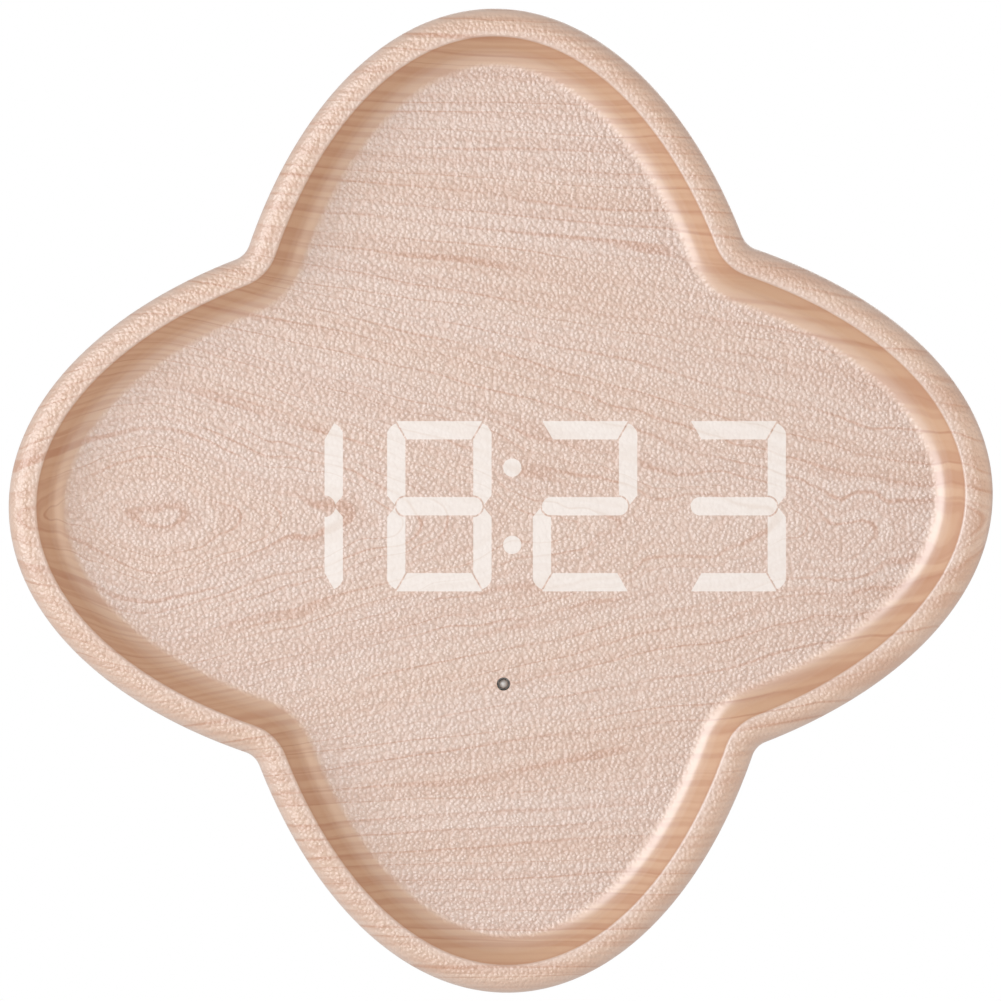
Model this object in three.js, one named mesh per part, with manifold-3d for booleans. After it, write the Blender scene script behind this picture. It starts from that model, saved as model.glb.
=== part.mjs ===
// A wall clock: a four-lobed wooden dish whose digits shine through its wood-grain film.
// Millimetres, +Z up. The wall plane is y = 0, the front faces -Y, and +X is the viewer's right.
import * as THREE from 'three';
import { mergeVertices } from 'three/addons/utils/BufferGeometryUtils.js';
import Module from 'manifold-3d';

const wasm = await Module();
wasm.setup();

// Outline: two equal ellipses that cross at right angles, with rounded junctions.
const SPAN = 300;
const LOBE_WIDTH = 177;
const JUNCTION_RADIUS = 6.8;
const OUTLINE_TURN_DEG = 1.13;
const LOBES = 4;
const LOBE_STEPS = 14;
const JUNCTION_STEPS = 4;

// Front profile, from the outer side over the rim and down into the dish.
const BODY_DEPTH = 34;
const RIM_WIDTH = 8.4;
const RIM_ROUND = 5.4;
const RIM_EDGE_RADIUS = 0.8;
const DISH_DEPTH = 11;
const WALL_DRAFT_DEG = 30;
const COVE_RADIUS = 7;
const ROUND_STEPS = 4;
const EDGE_STEPS = 1;
const COVE_STEPS = 3;

// Skin and core.
const FILM_THICKNESS = 0.35;
const GLUE_GAP = 0.2;
const FILM_BACK_MARGIN = 0.5;
const FLOOR_THICKNESS = 4;
const SIDE_WALL = 14;
const LEDGE_WIDTH = 7;

// Digits, as the viewer sees them.
const DIGIT_HEIGHT = 52;
const DIGIT_WIDTH = 31.9;
const STROKE = 5.6;
const PAIR_PITCH = 45.4;
const MIDDLE_PITCH = 44.5;
const DISPLAY_SHIFT_X = 3.5;
const DISPLAY_SHIFT_Z = -1.7;
const SEGMENT_GAP = 0.5;
const MITRE_INSET = 2.6;
const MITRE_DEG = 30;
const APEX_DROP = 0.7;
const CORNER_DROP = 3.6;
const CORNER_PULL_SHARE = 0.45;
const SLANT_RISE = 3.3;
const BAR_INSET = 2.8;
const COLON_DOT = 5.6;
const COLON_SPACING = 23.6;
const ARC_STEPS = 3;

// Display stack, from the film backwards.
const DIFFUSER_THICKNESS = 0.5;
const WINDOW_MARGIN = 3;
const MASK_FIT = 0.3;
const FLANGE_LAP = 6;
const FLANGE_THICKNESS = 2;
const BOARD_THICKNESS = 1.6;
const LED_LENGTH = 2.8;
const LED_WIDTH = 1.6;
const LED_HEIGHT = 0.8;
const LED_SPREAD_SHARE = 0.2;
const DRIVER_LENGTH = 18;
const DRIVER_WIDTH = 7.6;
const DRIVER_HEIGHT = 2.4;
const DRIVER_X = 46;

// Rear cover and its screws.
const COVER_THICKNESS = 3;
const COVER_FIT = 0.3;
const COVER_CHAMFER = 0.4;
const COVER_SCREW_HEAD = 5.6;
const COVER_SCREW_SHANK = 2.9;
const COVER_SCREW_LENGTH = 12;
const THREAD_CLEARANCE = 0.1;
const HEAD_CLEARANCE = 0.4;
const HEAD_SINK = 0.15;
const RECESS_WIDTH_SHARE = 0.2;
const RECESS_LENGTH_SHARE = 0.62;
const RECESS_DEPTH_SHARE = 0.3;
const PAN_TOP_SHARE = 0.8;
const PAN_EDGE_SHARE = 0.5;
const PAN_RECESS_SHARE = 0.6;
const SCREW_TIP_SHARE = 0.5;
const PILOT_DEPTH_SHARE = 0.7;

// Hanger plate in the upper lobe, with its keyhole.
const HANGER_WIDTH = 44;
const HANGER_HEIGHT = 26;
const HANGER_THICKNESS = 1.5;
const HANGER_TIP_SPACING = 16.7;
const HANGER_SINK = 0.6;
const HANGER_CORNER = 4;
const KEYHOLE_ENTRY = 9.6;
const KEYHOLE_SLOT = 4;
const KEYHOLE_RISE = 9;
const KEYHOLE_DROP = 4;
const HEAD_WELL_WIDTH = 13;
const HEAD_WELL_DEPTH = 5;
const HANGER_BLOCK_WALL = 2;
const HANGER_SCREW_INSET = 5.5;
const HANGER_SCREW_HEAD = 4.4;
const HANGER_SCREW_SHANK = 2.2;
const HANGER_SCREW_LENGTH = 6;

// Control well in the lower lobe, and the row of controls in it.
const WELL_HEIGHT = 18;
const WELL_DEPTH = 6;
const WELL_WALL = 2;
const WELL_SPACING = 1.3;
const WELL_CORNER = 4;
const SOCKET_INSET = 10;
const SOCKET_TO_SLIDE = 16;
const SLIDE_TO_BUTTON = 16;
const BUTTON_PITCH = 12;
const BUTTON_INSET = 8;
const BUTTON_NAMES = ['set', 'up', 'down'];

// Control board on its bosses behind the well.
const BOARD_SPACING = 7.3;
const BOARD_SIDE_MARGIN = 11;
const BOARD_MARGIN = 1.5;
const BOARD_BACK = 13.5;
const BOARD_CORNER = 2;
const BOSS_DIAMETER = 7;
const BOSS_INSET = 4.5;
const BOARD_SCREW_HEAD = 4.4;
const BOARD_SCREW_HEAD_HEIGHT = 1.5;
const BOARD_SCREW_SHANK = 2.2;
const BOARD_SCREW_LENGTH = 8;

// Buttons and their switches.
const CAP_DIAMETER = 7;
const CAP_PROUD = 2.4;
const CAP_CLEARANCE = 0.3;
const CAP_FLANGE_DIAMETER = 9;
const CAP_FLANGE_THICKNESS = 0.8;
const CAP_ROUND = 0.6;
const BUTTON_TRAVEL = 0.5;
const SWITCH_SIDE = 6;
const SWITCH_HEIGHT = 3.4;
const PLUNGER_DIAMETER = 3.4;
const PLUNGER_CLEARANCE = 0.1;
const PLUNGER_BORE_DEPTH = 1.8;

// Slide switch.
const SLIDE_BODY_LENGTH = 9;
const SLIDE_BODY_WIDTH = 4.4;
const SLIDE_BODY_HEIGHT = 3.4;
const SLIDE_TRAVEL = 2;
const SLIDE_STEM_LENGTH = 2;
const SLIDE_STEM_WIDTH = 1.8;
const SLIDE_CLEARANCE = 0.3;
const SLIDE_STEM_SEAT = 1.2;
const SLIDE_GRIP_LENGTH = 5;
const SLIDE_GRIP_WIDTH = 4;
const SLIDE_GRIP_HEIGHT = 1.8;
const SLIDE_GROOVE = 0.6;

// Charging socket.
const SOCKET_WIDTH = 9;
const SOCKET_HEIGHT = 3.3;
const SOCKET_SHELL = 0.35;
const SOCKET_FLOOR = 1.4;
const SOCKET_TONGUE_WIDTH = 6.6;
const SOCKET_TONGUE_HEIGHT = 0.7;
const SOCKET_TONGUE_BACK = 0.7;

// Small parts on the control board.
const CHIP_SIDE = 8;
const CHIP_HEIGHT = 1.4;
const BUZZER_DIAMETER = 12;
const BUZZER_HEIGHT = 6;
const BUZZER_HOLE = 2;
const BUZZER_HOLE_DEPTH = 1.5;
const SOUND_HOLE = 1.6;
const SOUND_HOLE_COUNT = 6;
const SOUND_HOLE_CIRCLE = 6;
const CELL_DIAMETER = 12.5;
const CELL_THICKNESS = 2;
const HOLDER_LENGTH = 17;
const HOLDER_WIDTH = 11.5;
const HOLDER_HEIGHT = 3.6;
const HOLDER_WALL = 1;
const LOWER_ROW_SPACING = 1.5;
const CELL_X = -32;
const BUZZER_X = 30;
const HEADER_LENGTH = 16;
const HEADER_WIDTH = 5;
const HEADER_HEIGHT = 5.6;
const RIBBON_X = 22;
const BATTERY_SOCKET_LENGTH = 7;
const BATTERY_SOCKET_X = -26;
const UPPER_ROW_INSET = 3.2;
const DISPLAY_HEADER_RISE = 5;
const RIBBON_WIDTH = 12;
const RIBBON_THICKNESS = 0.9;
const RIBBON_BOW = 3;
const CURVE_REACH_SHARE = 0.75;

// Light sensor under the digits.
const SENSOR_X = 0.85;
const SENSOR_DROP = 28.3;
const SENSOR_HOLE = 4;
const SENSOR_DIAMETER = 3;
const SENSOR_RECESS = 1;
const SENSOR_BODY = 5;
const SENSOR_FLANGE_DIAMETER = 3.7;
const SENSOR_FLANGE = 0.8;
const SENSOR_LEG = 0.6;
const SENSOR_LEG_SPACING = 1.6;
const SHROUD_DIAMETER = 7;
const SHROUD_BORE = 4.4;

// Battery in the upper lobe, with its pad and wires.
const BATTERY_WIDTH = 60;
const BATTERY_HEIGHT = 36;
const BATTERY_THICKNESS = 6.5;
const BATTERY_SPACING = 8.7;
const BATTERY_CORNER = 3;
const PAD_THICKNESS = 0.8;
const PAD_MARGIN = 4;
const WIRE_DIAMETER = 1.4;
const WIRE_SPACING = 2.4;
const WIRE_SIDES = 8;
const WIRE_STEPS = 22;
const WIRE_BATTERY_X = -18;
const WIRE_STRAIGHT = 3;
const WIRE_EXIT_SHARE = 0.67;

// General values.
const SEAT_GAP = 0.3;
const OVERRUN = 1;
const FUSE = 0.1;
const SCREW_SIDES = 8;
const HOLE_SIDES = 12;
const ROUND_SIDES = 24;

const radians = THREE.MathUtils.degToRad;

// Depths that follow from the sizes above. Smaller y is nearer the viewer.
const SKIN = FILM_THICKNESS + GLUE_GAP;
const RIM_Y = -BODY_DEPTH;
const DISH_Y = RIM_Y + DISH_DEPTH;
const CORE_FRONT_Y = DISH_Y + SKIN;
const CAVITY_Y = CORE_FRONT_Y + FLOOR_THICKNESS;
const MASK_FRONT_Y = CORE_FRONT_Y + DIFFUSER_THICKNESS;
const DISPLAY_BOARD_FRONT_Y = CAVITY_Y + FLANGE_THICKNESS;
const DISPLAY_BOARD_BACK_Y = DISPLAY_BOARD_FRONT_Y + BOARD_THICKNESS;
const BOARD_BACK_Y = -BOARD_BACK;
const BOARD_FRONT_Y = BOARD_BACK_Y - BOARD_THICKNESS;
const WELL_FLOOR_Y = -WELL_DEPTH;
const WELL_INNER_Y = WELL_FLOOR_Y - WELL_WALL;

// Display field: four digit cells side by side.
const FIELD_WIDTH = 2 * PAIR_PITCH + MIDDLE_PITCH + DIGIT_WIDTH;
const WINDOW_WIDTH = FIELD_WIDTH + 2 * WINDOW_MARGIN;
const WINDOW_HEIGHT = DIGIT_HEIGHT + 2 * WINDOW_MARGIN;
const FLANGE_WIDTH = WINDOW_WIDTH + 2 * FLANGE_LAP;
const FLANGE_HEIGHT = WINDOW_HEIGHT + 2 * FLANGE_LAP;
const DIGIT_CENTRES = [
  -MIDDLE_PITCH / 2 - PAIR_PITCH,
  -MIDDLE_PITCH / 2,
  MIDDLE_PITCH / 2,
  MIDDLE_PITCH / 2 + PAIR_PITCH,
];

// Heights: the battery and the controls follow the display, the hanger follows the upper lobe's tip.
const DISPLAY_TOP_Z = DISPLAY_SHIFT_Z + FLANGE_HEIGHT / 2;
const DISPLAY_BOTTOM_Z = DISPLAY_SHIFT_Z - FLANGE_HEIGHT / 2;
const BATTERY_CENTRE_Z = DISPLAY_TOP_Z + BATTERY_SPACING + BATTERY_HEIGHT / 2;
const HANGER_BLOCK_TOP_Z = SPAN / 2 - SIDE_WALL - HANGER_TIP_SPACING;
const HANGER_CENTRE_Z = HANGER_BLOCK_TOP_Z - HANGER_BLOCK_WALL - COVER_FIT - HANGER_HEIGHT / 2;
const SENSOR_Z = DISPLAY_SHIFT_Z - DIGIT_HEIGHT / 2 - SENSOR_DROP;
const BOARD_TOP_Z = DISPLAY_BOTTOM_Z - BOARD_SPACING;
const UPPER_ROW_Z = BOARD_TOP_Z - UPPER_ROW_INSET;
const WELL_CENTRE_Z = UPPER_ROW_Z - HEADER_WIDTH / 2 - WELL_SPACING - WELL_WALL - WELL_HEIGHT / 2;
const WELL_BOTTOM_Z = WELL_CENTRE_Z - WELL_HEIGHT / 2 - WELL_WALL;
const LOWER_ROW_Z = WELL_BOTTOM_Z - LOWER_ROW_SPACING - BUZZER_DIAMETER / 2;
const DISPLAY_HEADER_Z = DISPLAY_BOTTOM_Z + DISPLAY_HEADER_RISE;
const BOARD_BOTTOM_Z = LOWER_ROW_Z - BUZZER_DIAMETER / 2 - BOARD_MARGIN;
const BOARD_HEIGHT = BOARD_TOP_Z - BOARD_BOTTOM_Z;
const BOARD_CENTRE_Z = (BOARD_TOP_Z + BOARD_BOTTOM_Z) / 2;

// The row of controls: socket, slide switch, then the buttons.
const BUTTON_ROW = (BUTTON_NAMES.length - 1) * BUTTON_PITCH;
const WELL_WIDTH = SOCKET_INSET + SOCKET_TO_SLIDE + SLIDE_TO_BUTTON + BUTTON_ROW + BUTTON_INSET;
const BOARD_WIDTH = WELL_WIDTH + 2 * (WELL_WALL + BOARD_SIDE_MARGIN);
const SOCKET_X = SOCKET_INSET - WELL_WIDTH / 2;
const SLIDE_X = SOCKET_X + SOCKET_TO_SLIDE;
const FIRST_BUTTON_X = SLIDE_X + SLIDE_TO_BUTTON;

// Finishes.
const finish = (color, roughness, metalness = 0) =>
  new THREE.MeshStandardMaterial({ color, roughness, metalness });
const FINISHES = {
  fibreboard: finish(0xb48a68, 0.9),
  film: finish(0xd9bca9, 0.55),
  whitePlastic: finish(0xe8e6e0, 0.45),
  diffuser: finish(0xf6ede6, 0.4),
  board: finish(0x1d5a3a, 0.5),
  blackPlastic: finish(0x1c1c1e, 0.45),
  coverPlastic: finish(0x2a2a2c, 0.6),
  steel: finish(0xb8bcc0, 0.35, 1),
  screwSteel: finish(0x8d9094, 0.4, 1),
  clear: finish(0xdfe6ea, 0.1),
  foam: finish(0x202022, 0.95),
  buttonPlastic: finish(0x3a3a3d, 0.5),
  battery: finish(0x9aa6b0, 0.35, 0.4),
  pad: finish(0xeae4d4, 0.9),
  redWire: finish(0xa8201c, 0.5),
  blackWire: finish(0x161616, 0.5),
  ribbon: finish(0x8f9296, 0.55),
};

const clock = new THREE.Group();

// Solids: a closed geometry becomes a solid, and a solid becomes a named mesh.
function toSolid(geometry) {
  const bare = geometry.clone();
  bare.deleteAttribute('normal');
  bare.deleteAttribute('uv');
  const merged = mergeVertices(bare);
  return new wasm.Manifold(
    new wasm.Mesh({
      numProp: 3,
      vertProperties: new Float32Array(merged.attributes.position.array),
      triVerts: new Uint32Array(merged.index.array),
    }),
  );
}

function add(name, solid, material) {
  const { vertProperties, triVerts } = solid.getMesh();
  const geometry = new THREE.BufferGeometry();
  geometry.setAttribute('position', new THREE.BufferAttribute(vertProperties, 3));
  geometry.setIndex(new THREE.BufferAttribute(triVerts, 1));
  geometry.computeVertexNormals();
  const mesh = new THREE.Mesh(geometry, material);
  mesh.name = name;
  clock.add(mesh);
}

function cutAll(solid, tools) {
  return tools.reduce((body, tool) => body.subtract(tool), solid);
}

function joinAll(solids) {
  return solids.reduce((body, piece) => body.add(piece));
}

// A block between two depths, centred on (x, z).
function block(width, height, yFront, yBack, x = 0, z = 0) {
  const geometry = new THREE.BoxGeometry(width, yBack - yFront, height);
  return toSolid(geometry.translate(x, (yFront + yBack) / 2, z));
}

// A round bar along the depth between two depths.
function bar(diameter, yFront, yBack, x = 0, z = 0, sides = ROUND_SIDES) {
  const geometry = new THREE.CylinderGeometry(diameter / 2, diameter / 2, yBack - yFront, sides);
  return toSolid(geometry.translate(x, (yFront + yBack) / 2, z));
}

// A flat shape drawn in (x, z), extruded along the depth.
function slab(shape, yFront, yBack, x = 0, z = 0) {
  const geometry = new THREE.ExtrudeGeometry(shape, {
    depth: yBack - yFront,
    bevelEnabled: false,
    curveSegments: ARC_STEPS,
  });
  geometry.rotateX(Math.PI / 2);
  return toSolid(geometry.translate(x, yBack, z));
}

// A turned piece about the depth axis: points are [radius, y] from the front to the back.
function turned(points, x = 0, z = 0, sides = ROUND_SIDES) {
  const profile = points.map(([radius, y]) => new THREE.Vector2(radius, y));
  const geometry = new THREE.LatheGeometry(profile, sides);
  return toSolid(geometry.translate(x, 0, z));
}

function roundedRectangle(width, height, corner) {
  const w = width / 2;
  const h = height / 2;
  const shape = new THREE.Shape();
  shape.absarc(w - corner, h - corner, corner, 0, Math.PI / 2);
  shape.absarc(corner - w, h - corner, corner, Math.PI / 2, Math.PI);
  shape.absarc(corner - w, corner - h, corner, Math.PI, Math.PI * 1.5);
  shape.absarc(w - corner, corner - h, corner, Math.PI * 1.5, Math.PI * 2);
  return shape;
}

// The outline: points in (x, z), each with its unit normal that points inwards.
function ellipsePoint(angle) {
  const a = SPAN / 2;
  const b = LOBE_WIDTH / 2;
  const normal = new THREE.Vector2(Math.cos(angle) / a, Math.sin(angle) / b).normalize();
  return { point: new THREE.Vector2(a * Math.cos(angle), b * Math.sin(angle)), outward: normal };
}

// The ellipse angle where a junction fillet, centred on the diagonal, touches the lobe.
function junctionAngle() {
  let low = 0;
  let high = Math.atan2(SPAN, LOBE_WIDTH);
  while (high - low > Number.EPSILON * LOBES) {
    const middle = (low + high) / 2;
    const { point, outward } = ellipsePoint(middle);
    const centre = point.clone().addScaledVector(outward, JUNCTION_RADIUS);
    if (centre.x > centre.y) {
      low = middle;
    } else {
      high = middle;
    }
  }
  return (low + high) / 2;
}

function makeOutline() {
  const touch = junctionAngle();
  const { point, outward } = ellipsePoint(touch);
  const centre = point.clone().addScaledVector(outward, JUNCTION_RADIUS);
  const fromCentre = point.clone().sub(centre).angle();
  const sweep = 2 * (fromCentre - Math.PI * 1.25);
  const lobe = [];
  for (let i = 0; i <= LOBE_STEPS; i += 1) {
    const at = ellipsePoint(touch * ((2 * i) / LOBE_STEPS - 1));
    lobe.push({ point: at.point, inward: at.outward.negate() });
  }
  for (let i = 1; i < JUNCTION_STEPS; i += 1) {
    const angle = fromCentre - (sweep * i) / JUNCTION_STEPS;
    const inward = new THREE.Vector2(Math.cos(angle), Math.sin(angle));
    lobe.push({ point: centre.clone().addScaledVector(inward, JUNCTION_RADIUS), inward });
  }
  const origin = new THREE.Vector2();
  const turn = radians(OUTLINE_TURN_DEG);
  const outline = [];
  for (let quarter = 0; quarter < LOBES; quarter += 1) {
    const angle = turn + (quarter * 2 * Math.PI) / LOBES;
    for (const at of lobe) {
      outline.push({
        point: at.point.clone().rotateAround(origin, angle),
        inward: at.inward.clone().rotateAround(origin, angle),
      });
    }
  }
  return outline;
}
const OUTLINE = makeOutline();
const POINTS_PER_LOBE = OUTLINE.length / LOBES;

function insetPoint(index, inset) {
  const { point, inward } = OUTLINE[index % OUTLINE.length];
  return point.clone().addScaledVector(inward, inset);
}

// A solid from a stack of rings, each the outline moved in by an inset at a depth. Both ends are
// closed by a fan to their middle. Each layer is [inset, y].
function stacked(layers) {
  const positions = [];
  for (const [inset, y] of layers) {
    for (let i = 0; i < OUTLINE.length; i += 1) {
      const { x, y: z } = insetPoint(i, inset);
      positions.push(x, y, z);
    }
  }
  const count = OUTLINE.length;
  const first = layers.length * count;
  const last = first + 1;
  positions.push(0, layers[0][1], 0, 0, layers[layers.length - 1][1], 0);
  const triangles = [];
  for (let i = 0; i < count; i += 1) {
    const next = (i + 1) % count;
    triangles.push(first, i, next);
    for (let layer = 0; layer + 1 < layers.length; layer += 1) {
      const here = layer * count;
      const there = here + count;
      triangles.push(here + i, there + i, there + next, here + i, there + next, here + next);
    }
    const end = (layers.length - 1) * count;
    triangles.push(last, end + next, end + i);
  }
  const geometry = new THREE.BufferGeometry();
  geometry.setAttribute('position', new THREE.Float32BufferAttribute(positions, 3));
  geometry.setIndex(triangles);
  return toSolid(geometry);
}

// The front profile at a distance under the outer surface, from the dish floor out to the side.
function frontProfile(under, sideEndY) {
  const draft = radians(WALL_DRAFT_DEG);
  const cove = { y: DISH_Y - COVE_RADIUS };
  cove.inset = RIM_WIDTH + (COVE_RADIUS + (cove.y - RIM_Y) * Math.sin(draft)) / Math.cos(draft);
  const edge = { y: RIM_Y + RIM_EDGE_RADIUS };
  edge.inset = RIM_WIDTH - (RIM_EDGE_RADIUS * (1 - Math.sin(draft))) / Math.cos(draft);
  const layers = [];
  const arc = (centre, radius, from, to, steps) => {
    for (let i = 0; i <= steps; i += 1) {
      const angle = from + ((to - from) * i) / steps;
      layers.push([centre.inset + radius * Math.cos(angle), centre.y + radius * Math.sin(angle)]);
    }
  };
  arc(cove, COVE_RADIUS + under, Math.PI / 2, Math.PI - draft, COVE_STEPS);
  arc(edge, RIM_EDGE_RADIUS - under, -draft, -Math.PI / 2, EDGE_STEPS);
  const rimRound = { inset: RIM_ROUND, y: RIM_Y + RIM_ROUND };
  arc(rimRound, RIM_ROUND - under, -Math.PI / 2, -Math.PI, ROUND_STEPS);
  layers.push([under, sideEndY]);
  return layers;
}

// Film: the outer surface, then the inner one back to the middle of the floor.
function makeFilm() {
  const outer = frontProfile(0, -FILM_BACK_MARGIN);
  const inner = frontProfile(FILM_THICKNESS, -FILM_BACK_MARGIN).reverse();
  const hole = bar(
    SENSOR_HOLE,
    DISH_Y - OVERRUN,
    CORE_FRONT_Y,
    SENSOR_X,
    SENSOR_Z,
    ROUND_SIDES,
  );
  add('grain_film', stacked([...outer, ...inner]).subtract(hole), FINISHES.film);
}

// Screw places on the ledge: at every lobe tip and at every junction.
function coverScrewPlaces() {
  const places = [];
  const tip = LOBE_STEPS / 2;
  const junction = LOBE_STEPS + JUNCTION_STEPS / 2;
  for (let quarter = 0; quarter < LOBES; quarter += 1) {
    for (const step of [tip, junction]) {
      places.push(insetPoint(quarter * POINTS_PER_LOBE + step, SIDE_WALL - LEDGE_WIDTH / 2));
    }
  }
  return places;
}

function displayScrewPlaces() {
  const x = (WINDOW_WIDTH + FLANGE_LAP) / 2;
  const z = (WINDOW_HEIGHT + FLANGE_LAP) / 2;
  const corners = [[-x, -z], [x, -z], [x, z], [-x, z]];
  return corners.map(([px, pz]) => new THREE.Vector2(px + DISPLAY_SHIFT_X, pz + DISPLAY_SHIFT_Z));
}

function boardScrewPlaces() {
  const x = BOARD_WIDTH / 2 - BOSS_INSET;
  const z = BOARD_HEIGHT / 2 - BOSS_INSET;
  const corners = [[-x, -z], [x, -z], [x, z], [-x, z]];
  return corners.map(([px, pz]) => new THREE.Vector2(px, pz + BOARD_CENTRE_Z));
}

function hangerScrewPlaces() {
  const x = HANGER_WIDTH / 2 - HANGER_SCREW_INSET;
  return [new THREE.Vector2(-x, HANGER_CENTRE_Z), new THREE.Vector2(x, HANGER_CENTRE_Z)];
}

// The core's rear cavity, which also makes room for the whole display flange and control board.
function makeCavity() {
  const lobes = stacked([[SIDE_WALL, CAVITY_Y], [SIDE_WALL, OVERRUN]]);
  const displayRoom = block(
    FLANGE_WIDTH + 2 * SEAT_GAP,
    FLANGE_HEIGHT + 2 * SEAT_GAP,
    CAVITY_Y,
    -COVER_THICKNESS,
    DISPLAY_SHIFT_X,
    DISPLAY_SHIFT_Z,
  );
  const boardRoom = block(
    BOARD_WIDTH + 2 * SEAT_GAP,
    BOARD_HEIGHT + 2 * SEAT_GAP,
    BOARD_FRONT_Y - BOARD_SCREW_HEAD_HEIGHT - SEAT_GAP,
    -COVER_THICKNESS,
    0,
    BOARD_CENTRE_Z,
  );
  return joinAll([lobes, displayRoom, boardRoom]);
}

// Core: the routed block with its rear cavity, cover ledge, display window and pilot holes.
const DISPLAY_SCREW_DEPTH = FLOOR_THICKNESS * PILOT_DEPTH_SHARE;
function makeCore() {
  const body = stacked(frontProfile(SKIN, 0));
  const rebate = stacked([[SIDE_WALL - LEDGE_WIDTH, -COVER_THICKNESS], [SIDE_WALL - LEDGE_WIDTH, OVERRUN]]);
  const window = block(
    WINDOW_WIDTH,
    WINDOW_HEIGHT,
    CORE_FRONT_Y - OVERRUN,
    CAVITY_Y + OVERRUN,
    DISPLAY_SHIFT_X,
    DISPLAY_SHIFT_Z,
  );
  const sensorHole = bar(SENSOR_HOLE, CORE_FRONT_Y - OVERRUN, CAVITY_Y + OVERRUN, SENSOR_X, SENSOR_Z);
  const coverPilots = coverScrewPlaces().map(({ x, y }) =>
    bar(COVER_SCREW_SHANK + 2 * THREAD_CLEARANCE, -COVER_SCREW_LENGTH - OVERRUN, 0, x, y, HOLE_SIDES));
  const displayPilots = displayScrewPlaces().map(({ x, y }) =>
    bar(
      BOARD_SCREW_SHANK + 2 * THREAD_CLEARANCE,
      CAVITY_Y - DISPLAY_SCREW_DEPTH,
      CAVITY_Y + OVERRUN,
      x,
      y,
      HOLE_SIDES,
    ));
  const cuts = [makeCavity(), rebate, window, sensorHole, ...coverPilots, ...displayPilots];
  add('wood_body', cutAll(body, cuts), FINISHES.fibreboard);
}

// Seven-segment shapes about a digit's middle.
function mirrored(shape, flipX, flipZ) {
  const points = shape.getPoints(ARC_STEPS).map(({ x, y }) =>
    new THREE.Vector2(flipX ? -x : x, flipZ ? -y : y));
  return new THREE.Shape(flipX === flipZ ? points : points.reverse());
}

function digitSegments() {
  const w = DIGIT_WIDTH / 2;
  const h = DIGIT_HEIGHT / 2;
  const slope = Math.tan(radians(MITRE_DEG));
  const half = SEGMENT_GAP / 2 / Math.cos(radians(MITRE_DEG));
  const mitreX = (z) => -w + MITRE_INSET + (h - z) * slope;
  const top = new THREE.Shape();
  top.moveTo(mitreX(h) + half, h);
  top.lineTo(mitreX(h - STROKE) + half, h - STROKE);
  top.lineTo(-mitreX(h - STROKE) - half, h - STROKE);
  top.lineTo(-mitreX(h) - half, h);
  const barRadius = STROKE / 2;
  const barX = w - BAR_INSET - barRadius;
  const middle = new THREE.Shape();
  middle.absarc(barX, 0, barRadius, -Math.PI / 2, Math.PI / 2);
  middle.absarc(-barX, 0, barRadius, Math.PI / 2, Math.PI * 1.5);
  const nest = barRadius + SEGMENT_GAP;
  const innerX = -w + STROKE;
  const innerTop = h - (STROKE - MITRE_INSET + half) / slope;
  const apexX = mitreX(h - APEX_DROP) - half;
  const pullX = -w + (apexX + w) * (1 - CORNER_PULL_SHARE) / 2;
  const pullZ = h - APEX_DROP - (CORNER_DROP - APEX_DROP) * (1 - CORNER_PULL_SHARE) / 2;
  const upperLeft = new THREE.Shape();
  upperLeft.moveTo(innerX, innerTop);
  upperLeft.lineTo(apexX, h - APEX_DROP);
  upperLeft.quadraticCurveTo(pullX, pullZ, -w, h - CORNER_DROP);
  upperLeft.lineTo(-w, SLANT_RISE);
  upperLeft.lineTo(-barX - nest, SEGMENT_GAP);
  upperLeft.absarc(-barX, 0, nest, Math.PI - Math.asin(SEGMENT_GAP / nest), Math.PI / 2, true);
  upperLeft.lineTo(innerX, nest);
  return {
    top: { shape: top, x: 0, z: h - STROKE / 2, alongX: true },
    middle: { shape: middle, x: 0, z: 0, alongX: true },
    bottom: { shape: mirrored(top, false, true), x: 0, z: -h + STROKE / 2, alongX: true },
    upperLeft: { shape: mirrored(upperLeft, false, false), x: -w + STROKE / 2, z: h / 2 },
    upperRight: { shape: mirrored(upperLeft, true, false), x: w - STROKE / 2, z: h / 2 },
    lowerLeft: { shape: mirrored(upperLeft, false, true), x: -w + STROKE / 2, z: -h / 2 },
    lowerRight: { shape: mirrored(upperLeft, true, true), x: w - STROKE / 2, z: -h / 2 },
  };
}

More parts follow.
